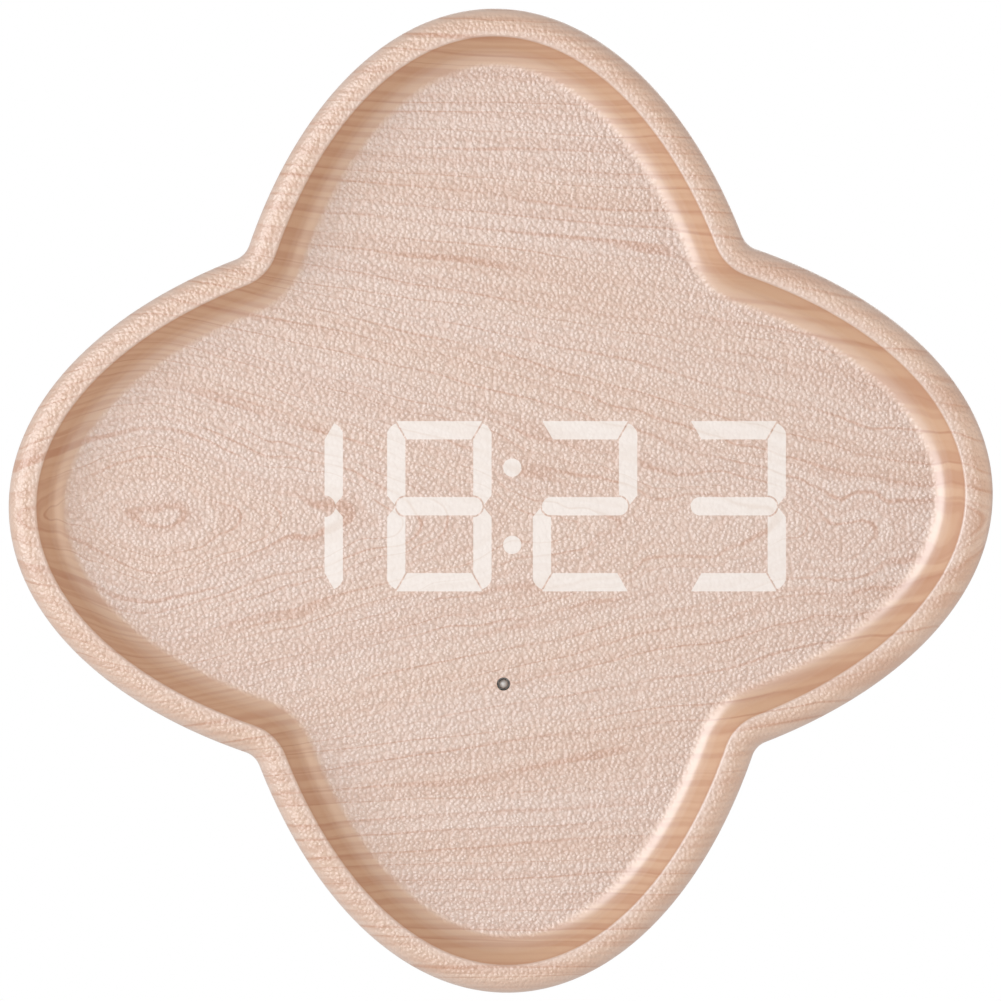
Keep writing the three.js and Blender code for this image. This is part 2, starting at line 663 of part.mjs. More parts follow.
// Display stack: diffuser, light-tight mask with a cell for every segment, and the LED board.
function makeDisplay() {
  const insideWidth = WINDOW_WIDTH - 2 * MASK_FIT;
  const insideHeight = WINDOW_HEIGHT - 2 * MASK_FIT;
  const x = DISPLAY_SHIFT_X;
  const z = DISPLAY_SHIFT_Z;
  const diffuser = block(insideWidth, insideHeight, CORE_FRONT_Y, MASK_FRONT_Y, x, z);
  add('diffuser_sheet', diffuser, FINISHES.diffuser);

  const front = block(insideWidth, insideHeight, MASK_FRONT_Y, CAVITY_Y + FUSE, x, z);
  const flange = block(FLANGE_WIDTH, FLANGE_HEIGHT, CAVITY_Y, DISPLAY_BOARD_FRONT_Y, x, z);
  const cellFront = MASK_FRONT_Y - OVERRUN;
  const cellBack = DISPLAY_BOARD_FRONT_Y + OVERRUN;
  const holes = [];
  const leds = [];
  const addLed = (ledX, ledZ, alongX) => {
    const width = alongX ? LED_LENGTH : LED_WIDTH;
    const height = alongX ? LED_WIDTH : LED_LENGTH;
    const ledFront = DISPLAY_BOARD_FRONT_Y - LED_HEIGHT;
    leds.push(block(width, height, ledFront, DISPLAY_BOARD_FRONT_Y + FUSE, ledX, ledZ));
  };
  const spread = (DIGIT_HEIGHT * LED_SPREAD_SHARE) / 2;
  for (const centre of DIGIT_CENTRES) {
    for (const segment of Object.values(digitSegments())) {
      holes.push(slab(segment.shape, cellFront, cellBack, x + centre, z));
      for (const side of [-1, 1]) {
        const alongX = Boolean(segment.alongX);
        const ledX = x + centre + segment.x + (alongX ? side * spread : 0);
        const ledZ = z + segment.z + (alongX ? 0 : side * spread);
        addLed(ledX, ledZ, alongX);
      }
    }
  }
  for (const side of [-1, 1]) {
    const dotZ = z + (side * COLON_SPACING) / 2;
    holes.push(bar(COLON_DOT, cellFront, cellBack, x, dotZ, HOLE_SIDES));
    addLed(x, dotZ, true);
  }
  const screwHoles = displayScrewPlaces().map((at) =>
    bar(BOARD_SCREW_SHANK + 2 * THREAD_CLEARANCE, CAVITY_Y - OVERRUN, 0, at.x, at.y, HOLE_SIDES));
  add('segment_mask', cutAll(front.add(flange), [...holes, ...screwHoles]), FINISHES.whitePlastic);

  const board = block(FLANGE_WIDTH, FLANGE_HEIGHT, DISPLAY_BOARD_FRONT_Y, DISPLAY_BOARD_BACK_Y, x, z);
  const header = block(
    HEADER_LENGTH,
    HEADER_WIDTH,
    DISPLAY_BOARD_BACK_Y - FUSE,
    DISPLAY_BOARD_BACK_Y + HEADER_HEIGHT,
    RIBBON_X,
    DISPLAY_HEADER_Z,
  );
  add('display_board', cutAll(joinAll([board, header, ...leds]), screwHoles), FINISHES.board);

  const driverTop = DISPLAY_BOARD_BACK_Y + DRIVER_HEIGHT;
  const driver = block(DRIVER_LENGTH, DRIVER_WIDTH, DISPLAY_BOARD_BACK_Y, driverTop, DRIVER_X, z);
  add('display_driver', driver, FINISHES.blackPlastic);
}

// Screws: a head at seatY and a shank that runs along direction (-1 to the front, 1 to the back).
function crossRecess(head, depth, headY, direction, x, z) {
  const length = head * RECESS_LENGTH_SHARE;
  const width = head * RECESS_WIDTH_SHARE;
  const inside = headY + direction * depth;
  const outside = headY - direction * OVERRUN;
  const front = Math.min(inside, outside);
  const back = Math.max(inside, outside);
  return [block(length, width, front, back, x, z), block(width, length, front, back, x, z)];
}

function countersunkScrew(head, shank, length, topY, x, z) {
  const coneDepth = (head - shank) / 2;
  const tip = (SCREW_TIP_SHARE * shank) / 2;
  const points = [
    [0, topY - length],
    [tip, topY - length],
    [shank / 2, topY - length + shank / 2],
    [shank / 2, topY - coneDepth],
    [head / 2, topY],
    [0, topY],
  ];
  const depth = head * RECESS_DEPTH_SHARE;
  return cutAll(turned(points, x, z, SCREW_SIDES), crossRecess(head, depth, topY, -1, x, z));
}

function panScrew(head, headHeight, shank, length, seatY, direction, x, z) {
  const top = seatY - direction * headHeight;
  const tip = seatY + direction * length;
  const points = [
    [0, top],
    [(head / 2) * PAN_TOP_SHARE, top],
    [head / 2, seatY - direction * headHeight * PAN_EDGE_SHARE],
    [head / 2, seatY],
    [shank / 2, seatY],
    [shank / 2, tip - (direction * shank) / 2],
    [(SCREW_TIP_SHARE * shank) / 2, tip],
    [0, tip],
  ];
  const ordered = direction > 0 ? points : points.reverse();
  const depth = headHeight * PAN_RECESS_SHARE;
  return cutAll(turned(ordered, x, z, SCREW_SIDES), crossRecess(head, depth, top, direction, x, z));
}

function makeScrews() {
  const size = [BOARD_SCREW_HEAD, BOARD_SCREW_HEAD_HEIGHT, BOARD_SCREW_SHANK];
  displayScrewPlaces().forEach(({ x, y }, i) => {
    const length = BOARD_THICKNESS + FLANGE_THICKNESS + DISPLAY_SCREW_DEPTH - SEAT_GAP;
    const screw = panScrew(...size, length, DISPLAY_BOARD_BACK_Y, -1, x, y);
    add(`display_screw_${i + 1}`, screw, FINISHES.screwSteel);
  });
  boardScrewPlaces().forEach(({ x, y }, i) => {
    const screw = panScrew(...size, BOARD_SCREW_LENGTH, BOARD_FRONT_Y, 1, x, y);
    add(`board_screw_${i + 1}`, screw, FINISHES.screwSteel);
  });
  coverScrewPlaces().forEach(({ x, y }, i) => {
    const screw = countersunkScrew(COVER_SCREW_HEAD, COVER_SCREW_SHANK, COVER_SCREW_LENGTH, -HEAD_SINK, x, y);
    add(`cover_screw_${i + 1}`, screw, FINISHES.screwSteel);
  });
  hangerScrewPlaces().forEach(({ x, y }, i) => {
    const top = -HANGER_SINK - HEAD_SINK;
    const screw = countersunkScrew(HANGER_SCREW_HEAD, HANGER_SCREW_SHANK, HANGER_SCREW_LENGTH, top, x, y);
    add(`hanger_screw_${i + 1}`, screw, FINISHES.screwSteel);
  });
}

// A hole with a countersink at its back face, a little wider than the screw.
function countersunkHole(head, shank, yFront, topY, x, z) {
  const hole = shank / 2 + THREAD_CLEARANCE;
  const rim = head / 2 + HEAD_CLEARANCE;
  const faceY = topY + HEAD_SINK;
  const points = [
    [0, yFront],
    [hole, yFront],
    [hole, faceY - HEAD_SINK - (rim - hole)],
    [rim, faceY - HEAD_SINK],
    [rim, faceY + OVERRUN],
    [0, faceY + OVERRUN],
  ];
  return turned(points, x, z, HOLE_SIDES);
}

// Keyhole: the entry, and above it the slot that hangs on the wall screw's neck.
const KEYHOLE_ENTRY_Z = HANGER_CENTRE_Z - KEYHOLE_DROP;
function keyholeCut(yFront, yBack) {
  const entry = bar(KEYHOLE_ENTRY, yFront, yBack, 0, KEYHOLE_ENTRY_Z);
  const slotTop = KEYHOLE_ENTRY_Z + KEYHOLE_RISE;
  const slot = block(KEYHOLE_SLOT, KEYHOLE_RISE, yFront, yBack, 0, KEYHOLE_ENTRY_Z + KEYHOLE_RISE / 2);
  const end = bar(KEYHOLE_SLOT, yFront, yBack, 0, slotTop, HOLE_SIDES);
  return joinAll([entry, slot, end]);
}

const HANGER_FRONT_Y = -HANGER_SINK - HANGER_THICKNESS;
function makeHangerPlate() {
  const shape = roundedRectangle(HANGER_WIDTH, HANGER_HEIGHT, HANGER_CORNER);
  const plate = slab(shape, HANGER_FRONT_Y, -HANGER_SINK, 0, HANGER_CENTRE_Z);
  const screwHoles = hangerScrewPlaces().map(({ x, y }) =>
    countersunkHole(
      HANGER_SCREW_HEAD,
      HANGER_SCREW_SHANK,
      HANGER_FRONT_Y - OVERRUN,
      -HANGER_SINK - HEAD_SINK,
      x,
      y,
    ));
  const keyhole = keyholeCut(HANGER_FRONT_Y - OVERRUN, OVERRUN);
  add('hanger_plate', cutAll(plate, [keyhole, ...screwHoles]), FINISHES.steel);
}

const buttonX = (i) => FIRST_BUTTON_X + i * BUTTON_PITCH;

function stadium(width, height) {
  const radius = height / 2;
  const shape = new THREE.Shape();
  shape.absarc(width / 2 - radius, 0, radius, -Math.PI / 2, Math.PI / 2);
  shape.absarc(radius - width / 2, 0, radius, Math.PI / 2, Math.PI * 1.5);
  return shape;
}

const SLIDE_SLOT_LENGTH = SLIDE_STEM_LENGTH + SLIDE_TRAVEL + 2 * SLIDE_CLEARANCE;
const SLIDE_SLOT_WIDTH = SLIDE_STEM_WIDTH + 2 * SLIDE_CLEARANCE;

// Rear cover: a plate in the ledge with the control well, the hanger block and four board bosses.
function makeRearCover() {
  const inset = SIDE_WALL - LEDGE_WIDTH + COVER_FIT;
  const plate = stacked([
    [inset, -COVER_THICKNESS],
    [inset, -COVER_CHAMFER],
    [inset + COVER_CHAMFER, 0],
  ]);
  const wellOuter = roundedRectangle(WELL_WIDTH + 2 * WELL_WALL, WELL_HEIGHT + 2 * WELL_WALL, WELL_CORNER);
  const tub = slab(wellOuter, WELL_INNER_Y, -COVER_THICKNESS + FUSE, 0, WELL_CENTRE_Z);
  const wellInner = roundedRectangle(WELL_WIDTH, WELL_HEIGHT, WELL_CORNER - WELL_WALL);
  const well = slab(wellInner, WELL_FLOOR_Y, OVERRUN, 0, WELL_CENTRE_Z);
  const blockWidth = HANGER_WIDTH + 2 * (COVER_FIT + HANGER_BLOCK_WALL);
  const blockHeight = HANGER_HEIGHT + 2 * (COVER_FIT + HANGER_BLOCK_WALL);
  const blockFront = HANGER_FRONT_Y - HEAD_WELL_DEPTH - HANGER_BLOCK_WALL;
  const blockShape = roundedRectangle(blockWidth, blockHeight, HANGER_CORNER + HANGER_BLOCK_WALL);
  const hangerBlock = slab(blockShape, blockFront, -COVER_THICKNESS + FUSE, 0, HANGER_CENTRE_Z);
  const pocketShape = roundedRectangle(
    HANGER_WIDTH + 2 * COVER_FIT,
    HANGER_HEIGHT + 2 * COVER_FIT,
    HANGER_CORNER,
  );
  const pocket = slab(pocketShape, HANGER_FRONT_Y, OVERRUN, 0, HANGER_CENTRE_Z);
  const headWellHeight = KEYHOLE_RISE + HEAD_WELL_WIDTH;
  const headWellZ = KEYHOLE_ENTRY_Z + KEYHOLE_RISE / 2;
  const headWell = slab(
    stadiumUpright(HEAD_WELL_WIDTH, headWellHeight),
    HANGER_FRONT_Y - HEAD_WELL_DEPTH,
    HANGER_FRONT_Y + FUSE,
    0,
    headWellZ,
  );
  const bosses = boardScrewPlaces().map(({ x, y }) =>
    bar(BOSS_DIAMETER, BOARD_BACK_Y, -COVER_THICKNESS + FUSE, x, y, HOLE_SIDES));
  const pilotEnd = BOARD_FRONT_Y + BOARD_SCREW_LENGTH + SEAT_GAP;
  const pilots = boardScrewPlaces().map(({ x, y }) =>
    bar(BOARD_SCREW_SHANK + 2 * THREAD_CLEARANCE, BOARD_BACK_Y - OVERRUN, pilotEnd, x, y, SCREW_SIDES));
  const buttonHoles = BUTTON_NAMES.map((_, i) =>
    bar(CAP_DIAMETER + 2 * CAP_CLEARANCE, WELL_INNER_Y - OVERRUN, 0, buttonX(i), WELL_CENTRE_Z));
  const slideSlot = block(
    SLIDE_SLOT_LENGTH,
    SLIDE_SLOT_WIDTH,
    WELL_INNER_Y - OVERRUN,
    0,
    SLIDE_X + SLIDE_TRAVEL / 2,
    WELL_CENTRE_Z,
  );
  const socketHole = slab(
    stadium(SOCKET_WIDTH + 2 * SEAT_GAP, SOCKET_HEIGHT + 2 * SEAT_GAP),
    WELL_INNER_Y - OVERRUN,
    0,
    SOCKET_X,
    WELL_CENTRE_Z,
  );
  const screwHoles = coverScrewPlaces().map(({ x, y }) =>
    countersunkHole(COVER_SCREW_HEAD, COVER_SCREW_SHANK, -COVER_THICKNESS - OVERRUN, -HEAD_SINK, x, y));
  const soundHoles = Array.from({ length: SOUND_HOLE_COUNT }, (_, i) => {
    const angle = (2 * Math.PI * i) / SOUND_HOLE_COUNT;
    const x = BUZZER_X + (SOUND_HOLE_CIRCLE / 2) * Math.cos(angle);
    const z = LOWER_ROW_Z + (SOUND_HOLE_CIRCLE / 2) * Math.sin(angle);
    return bar(SOUND_HOLE, -COVER_THICKNESS - OVERRUN, OVERRUN, x, z, SCREW_SIDES);
  });
  const hangerPilots = hangerScrewPlaces().map(({ x, y }) =>
    bar(
      HANGER_SCREW_SHANK + 2 * THREAD_CLEARANCE,
      -HANGER_SINK - HANGER_SCREW_LENGTH - SEAT_GAP,
      0,
      x,
      y,
      HOLE_SIDES,
    ));
  const solid = joinAll([plate, tub, hangerBlock, ...bosses]);
  const cuts = [
    well,
    pocket,
    headWell,
    slideSlot,
    socketHole,
    ...pilots,
    ...buttonHoles,
    ...screwHoles,
    ...soundHoles,
    ...hangerPilots,
  ];
  add('rear_cover', cutAll(solid, cuts), FINISHES.coverPlastic);
}

function stadiumUpright(width, height) {
  const radius = width / 2;
  const shape = new THREE.Shape();
  shape.absarc(0, height / 2 - radius, radius, 0, Math.PI);
  shape.absarc(0, radius - height / 2, radius, Math.PI, Math.PI * 2);
  return shape;
}

// Control board with its two headers, and the parts that stand on its back.
function makeControlBoard() {
  const shape = roundedRectangle(BOARD_WIDTH, BOARD_HEIGHT, BOARD_CORNER);
  const board = slab(shape, BOARD_FRONT_Y, BOARD_BACK_Y, 0, BOARD_CENTRE_Z);
  const headerTop = BOARD_BACK_Y + HEADER_HEIGHT;
  const header = block(HEADER_LENGTH, HEADER_WIDTH, BOARD_BACK_Y - FUSE, headerTop, RIBBON_X, UPPER_ROW_Z);
  const batterySocket = block(
    BATTERY_SOCKET_LENGTH,
    HEADER_WIDTH,
    BOARD_BACK_Y - FUSE,
    headerTop,
    BATTERY_SOCKET_X,
    UPPER_ROW_Z,
  );
  const holes = boardScrewPlaces().map(({ x, y }) =>
    bar(
      BOARD_SCREW_SHANK + 2 * THREAD_CLEARANCE,
      BOARD_FRONT_Y - OVERRUN,
      BOARD_BACK_Y + OVERRUN,
      x,
      y,
      SCREW_SIDES,
    ));
  add('control_board', cutAll(joinAll([board, header, batterySocket]), holes), FINISHES.board);

  const chip = block(CHIP_SIDE, CHIP_SIDE, BOARD_BACK_Y, BOARD_BACK_Y + CHIP_HEIGHT, 0, LOWER_ROW_Z);
  add('microcontroller', chip, FINISHES.blackPlastic);

  const buzzerTop = BOARD_BACK_Y + BUZZER_HEIGHT;
  const buzzer = bar(BUZZER_DIAMETER, BOARD_BACK_Y, buzzerTop, BUZZER_X, LOWER_ROW_Z);
  const soundHole = bar(
    BUZZER_HOLE,
    buzzerTop - BUZZER_HOLE_DEPTH,
    buzzerTop + OVERRUN,
    BUZZER_X,
    LOWER_ROW_Z,
    HOLE_SIDES,
  );
  add('buzzer', buzzer.subtract(soundHole), FINISHES.blackPlastic);

  const cellFloor = BOARD_BACK_Y + HOLDER_WALL;
  const holderTop = BOARD_BACK_Y + HOLDER_HEIGHT;
  const nestDiameter = CELL_DIAMETER + 2 * SEAT_GAP;
  const holder = block(HOLDER_LENGTH, HOLDER_WIDTH, BOARD_BACK_Y, holderTop, CELL_X, LOWER_ROW_Z);
  const nest = bar(nestDiameter, cellFloor, holderTop + OVERRUN, CELL_X, LOWER_ROW_Z);
  add('coin_cell_holder', holder.subtract(nest), FINISHES.blackPlastic);
  const cell = bar(CELL_DIAMETER, cellFloor, cellFloor + CELL_THICKNESS, CELL_X, LOWER_ROW_Z);
  add('coin_cell', cell, FINISHES.steel);
}

// Each button: a switch body, its plunger, and the cap that reaches into the well.
function makeButtons() {
  const switchTop = BOARD_BACK_Y + SWITCH_HEIGHT;
  const capFront = WELL_INNER_Y - SEAT_GAP - CAP_FLANGE_THICKNESS;
  const capTop = WELL_FLOOR_Y + CAP_PROUD;
  BUTTON_NAMES.forEach((name, i) => {
    const x = buttonX(i);
    const z = WELL_CENTRE_Z;
    const body = block(SWITCH_SIDE, SWITCH_SIDE, BOARD_BACK_Y, switchTop, x, z);
    const bore = bar(
      PLUNGER_DIAMETER + 2 * PLUNGER_CLEARANCE,
      switchTop - PLUNGER_BORE_DEPTH,
      switchTop + OVERRUN,
      x,
      z,
      HOLE_SIDES,
    );
    add(`${name}_switch`, body.subtract(bore), FINISHES.blackPlastic);
    const plungerFront = switchTop - PLUNGER_BORE_DEPTH + BUTTON_TRAVEL + PLUNGER_CLEARANCE;
    const plunger = bar(PLUNGER_DIAMETER, plungerFront, capFront, x, z, HOLE_SIDES);
    add(`${name}_plunger`, plunger, FINISHES.whitePlastic);
    const radius = CAP_DIAMETER / 2;
    const points = [
      [0, capFront],
      [CAP_FLANGE_DIAMETER / 2, capFront],
      [CAP_FLANGE_DIAMETER / 2, capFront + CAP_FLANGE_THICKNESS],
      [radius, capFront + CAP_FLANGE_THICKNESS],
      [radius, capTop - CAP_ROUND],
      [radius - CAP_ROUND, capTop],
      [0, capTop],
    ];
    add(`${name}_button`, turned(points, x, z), FINISHES.buttonPlastic);
  });
}

// Slide switch: a body with a slot, and the knob that slides in it and in the cover.
function makeSlideSwitch() {
  const z = WELL_CENTRE_Z;
  const bodyX = SLIDE_X + SLIDE_TRAVEL / 2;
  const top = BOARD_BACK_Y + SLIDE_BODY_HEIGHT;
  const body = block(SLIDE_BODY_LENGTH, SLIDE_BODY_WIDTH, BOARD_BACK_Y, top, bodyX, z);
  const slotFront = top - SLIDE_STEM_SEAT - SEAT_GAP;
  const slot = block(SLIDE_SLOT_LENGTH, SLIDE_SLOT_WIDTH, slotFront, top + OVERRUN, bodyX, z);
  add('power_switch', body.subtract(slot), FINISHES.steel);
  const gripFront = WELL_FLOOR_Y + SEAT_GAP;
  const stemFront = top - SLIDE_STEM_SEAT;
  const stem = block(SLIDE_STEM_LENGTH, SLIDE_STEM_WIDTH, stemFront, gripFront + FUSE, SLIDE_X, z);
  const gripTop = gripFront + SLIDE_GRIP_HEIGHT;
  const grip = block(SLIDE_GRIP_LENGTH, SLIDE_GRIP_WIDTH, gripFront, gripTop, SLIDE_X, z);
  const grooves = [-1, 0, 1].map((side) =>
    block(
      SLIDE_GROOVE,
      SLIDE_GRIP_WIDTH + OVERRUN,
      gripTop - SLIDE_GROOVE,
      gripTop + OVERRUN,
      SLIDE_X + side * 2 * SLIDE_GROOVE,
      z,
    ));
  add('power_switch_knob', cutAll(stem.add(grip), grooves), FINISHES.buttonPlastic);
}

// Charging socket: a steel shell with its tongue, standing on the board.
function makeSocket() {
  const z = WELL_CENTRE_Z;
  const shell = slab(stadium(SOCKET_WIDTH, SOCKET_HEIGHT), BOARD_BACK_Y, WELL_FLOOR_Y, SOCKET_X, z);
  const mouth = slab(
    stadium(SOCKET_WIDTH - 2 * SOCKET_SHELL, SOCKET_HEIGHT - 2 * SOCKET_SHELL),
    BOARD_BACK_Y + SOCKET_FLOOR,
    WELL_FLOOR_Y + OVERRUN,
    SOCKET_X,
    z,
  );
  const tongue = block(
    SOCKET_TONGUE_WIDTH,
    SOCKET_TONGUE_HEIGHT,
    BOARD_BACK_Y + SOCKET_FLOOR - FUSE,
    WELL_FLOOR_Y - SOCKET_TONGUE_BACK,
    SOCKET_X,
    z,
  );
  add('charging_socket', shell.subtract(mouth).add(tongue), FINISHES.steel);
}

// Light sensor on its legs, inside a foam shroud between the board and the dish floor.
function makeSensor() {
  const tipY = DISH_Y + SENSOR_RECESS;
  const radius = SENSOR_DIAMETER / 2;
  const points = [[0, tipY]];
  for (let i = 1; i <= ARC_STEPS; i += 1) {
    const angle = ((Math.PI / 2) * i) / ARC_STEPS;
    points.push([radius * Math.sin(angle), tipY + radius * (1 - Math.cos(angle))]);
  }
  const flangeFront = tipY + SENSOR_BODY;
  points.push(
    [radius, flangeFront],
    [SENSOR_FLANGE_DIAMETER / 2, flangeFront],
    [SENSOR_FLANGE_DIAMETER / 2, flangeFront + SENSOR_FLANGE],
    [0, flangeFront + SENSOR_FLANGE],
  );
  const body = turned(points, SENSOR_X, SENSOR_Z, HOLE_SIDES);
  const legs = [-1, 1].map((side) =>
    block(
      SENSOR_LEG,
      SENSOR_LEG,
      flangeFront,
      BOARD_FRONT_Y,
      SENSOR_X + (side * SENSOR_LEG_SPACING) / 2,
      SENSOR_Z,
    ));
  add('light_sensor', joinAll([body, ...legs]), FINISHES.clear);

  const shroudFront = CAVITY_Y + THREAD_CLEARANCE;
  const shroudBack = BOARD_FRONT_Y - THREAD_CLEARANCE;
  const shroud = bar(SHROUD_DIAMETER, shroudFront, shroudBack, SENSOR_X, SENSOR_Z, HOLE_SIDES);
  const bore = bar(SHROUD_BORE, shroudFront - OVERRUN, shroudBack + OVERRUN, SENSOR_X, SENSOR_Z, HOLE_SIDES);
  add('sensor_shroud', shroud.subtract(bore), FINISHES.foam);
}

// Battery on its pad, and two wires from it over the display board to the control board.
function makeBattery() {
  const padBack = CAVITY_Y + PAD_THICKNESS;
  const padWidth = BATTERY_WIDTH - 2 * PAD_MARGIN;
  const padHeight = BATTERY_HEIGHT - 2 * PAD_MARGIN;
  add('battery_pad', block(padWidth, padHeight, CAVITY_Y, padBack, 0, BATTERY_CENTRE_Z), FINISHES.pad);
  const shape = roundedRectangle(BATTERY_WIDTH, BATTERY_HEIGHT, BATTERY_CORNER);
  const batteryBack = padBack + BATTERY_THICKNESS;
  add('battery_pack', slab(shape, padBack, batteryBack, 0, BATTERY_CENTRE_Z), FINISHES.battery);

  const startY = padBack + BATTERY_THICKNESS * WIRE_EXIT_SHARE;
  const startZ = BATTERY_CENTRE_Z - BATTERY_HEIGHT / 2 - SEAT_GAP;
  const restY = DISPLAY_BOARD_BACK_Y + 2 * SEAT_GAP + WIRE_DIAMETER / 2;
  const endY = BOARD_BACK_Y + HEADER_HEIGHT / 2;
  const endZ = UPPER_ROW_Z + HEADER_WIDTH / 2 + SEAT_GAP;
  const wires = { red: [-1, FINISHES.redWire], black: [1, FINISHES.blackWire] };
  for (const [colour, [side, material]] of Object.entries(wires)) {
    const shift = (side * WIRE_SPACING) / 2;
    const path = new THREE.CatmullRomCurve3([
      new THREE.Vector3(WIRE_BATTERY_X + shift, startY, startZ),
      new THREE.Vector3(WIRE_BATTERY_X + shift, startY, startZ - WIRE_STRAIGHT),
      new THREE.Vector3(WIRE_BATTERY_X + shift, restY, DISPLAY_TOP_Z - WIRE_STRAIGHT),
      new THREE.Vector3((WIRE_BATTERY_X + BATTERY_SOCKET_X) / 2 + shift, restY, DISPLAY_SHIFT_Z),
      new THREE.Vector3(BATTERY_SOCKET_X + shift, restY, DISPLAY_BOTTOM_Z + 3 * WIRE_STRAIGHT),
      new THREE.Vector3(BATTERY_SOCKET_X + shift, restY, DISPLAY_BOTTOM_Z + WIRE_STRAIGHT),
      new THREE.Vector3(BATTERY_SOCKET_X + shift, endY, endZ + WIRE_STRAIGHT),
      new THREE.Vector3(BATTERY_SOCKET_X + shift, endY, endZ),
    ]);
    const section = new THREE.Shape();
    section.absarc(0, 0, WIRE_DIAMETER / 2, 0, Math.PI * 2);
    const points = section.getSpacedPoints(WIRE_SIDES).slice(0, WIRE_SIDES);
    const geometry = new THREE.ExtrudeGeometry(new THREE.Shape(points), {
      steps: WIRE_STEPS,
      extrudePath: path,
      bevelEnabled: false,
    });
    add(`battery_wire_${colour}`, toSolid(geometry), material);
  }
}

// Ribbon cable: a flat strip that bows from one header to the other.
function makeRibbon() {
  const displayZ = DISPLAY_HEADER_Z;
  const displayY = DISPLAY_BOARD_BACK_Y + HEADER_HEIGHT + SEAT_GAP;
  const boardY = BOARD_BACK_Y + HEADER_HEIGHT + SEAT_GAP;
  const bowY = Math.max(displayY, boardY) + RIBBON_BOW;
  const half = RIBBON_THICKNESS / 2;
  const shape = new THREE.Shape();
  shape.moveTo(displayZ + half, displayY);
  shape.bezierCurveTo(displayZ + half, bowY, UPPER_ROW_Z - half, bowY, UPPER_ROW_Z - half, boardY);
  shape.lineTo(UPPER_ROW_Z + half, boardY);
  const inner = bowY - RIBBON_THICKNESS / CURVE_REACH_SHARE;
  shape.bezierCurveTo(UPPER_ROW_Z + half, inner, displayZ - half, inner, displayZ - half, displayY);
  const geometry = new THREE.ExtrudeGeometry(shape, {
    depth: RIBBON_WIDTH,
    bevelEnabled: false,
    curveSegments: ROUND_SIDES / 2,
  });
  // The shape is drawn in (z, y) and extruded along X.
  geometry.rotateY(-Math.PI / 2);
  geometry.translate(RIBBON_X + RIBBON_WIDTH / 2, 0, 0);
  add('ribbon_cable', toSolid(geometry), FINISHES.ribbon);
}

makeFilm();
makeCore();
makeDisplay();
makeSensor();
makeControlBoard();
makeButtons();
makeSlideSwitch();
makeSocket();
makeBattery();
makeRibbon();
makeRearCover();
makeHangerPlate();
makeScrews();

export default clock;
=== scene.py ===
"""A wall clock: a four-lobed wooden dish whose digits shine through its wood-grain film.

Everything is in metres. The wall plane is y = 0, the front faces -Y, +X is the viewer's right and
+Z is up.
"""
import logging
import math
from collections.abc import Sequence
from dataclasses import dataclass
from enum import Enum

import bmesh
import bpy
from bmesh.types import BMEdge, BMVert
from bpy.types import ID, Material, Node, NodeSocket, Object
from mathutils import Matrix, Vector


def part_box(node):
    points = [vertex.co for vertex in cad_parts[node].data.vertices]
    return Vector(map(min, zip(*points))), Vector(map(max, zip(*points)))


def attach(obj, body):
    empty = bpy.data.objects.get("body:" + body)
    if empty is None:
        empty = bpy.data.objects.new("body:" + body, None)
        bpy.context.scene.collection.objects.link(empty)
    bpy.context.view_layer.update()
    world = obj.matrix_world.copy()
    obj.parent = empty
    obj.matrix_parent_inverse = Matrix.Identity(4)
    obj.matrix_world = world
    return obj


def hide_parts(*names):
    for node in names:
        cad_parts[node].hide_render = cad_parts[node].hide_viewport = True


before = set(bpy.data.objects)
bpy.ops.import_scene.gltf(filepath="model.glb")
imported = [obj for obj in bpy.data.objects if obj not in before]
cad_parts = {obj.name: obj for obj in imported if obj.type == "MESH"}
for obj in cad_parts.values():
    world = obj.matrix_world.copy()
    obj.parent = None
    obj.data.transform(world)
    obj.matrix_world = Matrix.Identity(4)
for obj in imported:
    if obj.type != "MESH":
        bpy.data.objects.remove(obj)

MM = 0.001
CLOCK_BODY = "clock_body"
SMOOTH_LIMIT = math.radians(32)
SAME_PLACE = 0.0004 * MM
NO_SIDE = 0.001 * MM
PILOT_SIDES = 20
SCREW_SIDES = 32
SCREWS = {"cover": 8, "hanger": 2, "board": 4, "display": 4}
BUTTON_NAMES = ("set", "up", "down")
DOT_SHARE = 0.8
ARROW_SHARE = 0.58
NOISE_REACH = (0.3, 0.7)

log = logging.getLogger("wall_clock")

Point = tuple[float, float]
Triple = tuple[float, float, float]
Colour = Triple
Value = float | Sequence[float] | NodeSocket


# Flat shapes, drawn in (x, z)


class Shape:
    """A closed flat shape."""

    def points(self, grow: float = 0.0) -> list[Point]:
        """Gives the points of the shape.

        Args:
            grow: how far its edge is moved outwards; below zero it moves inwards.

        Returns:
            The points, anticlockwise.
        """
        raise NotImplementedError


@dataclass(frozen=True)
class Round(Shape):
    """A circle with its middle at (x, z)."""

    diameter: float
    x: float = 0.0
    z: float = 0.0
    sides: int = 48

    def points(self, grow: float = 0.0) -> list[Point]:
        """Gives the points of the circle.

        Args:
            grow: how far the edge is moved outwards.

        Returns:
            The points, anticlockwise.
        """
        radius = self.diameter / 2 + grow
        steps = [2 * math.pi * i / self.sides for i in range(self.sides)]
        return [(self.x + radius * math.cos(a), self.z + radius * math.sin(a)) for a in steps]


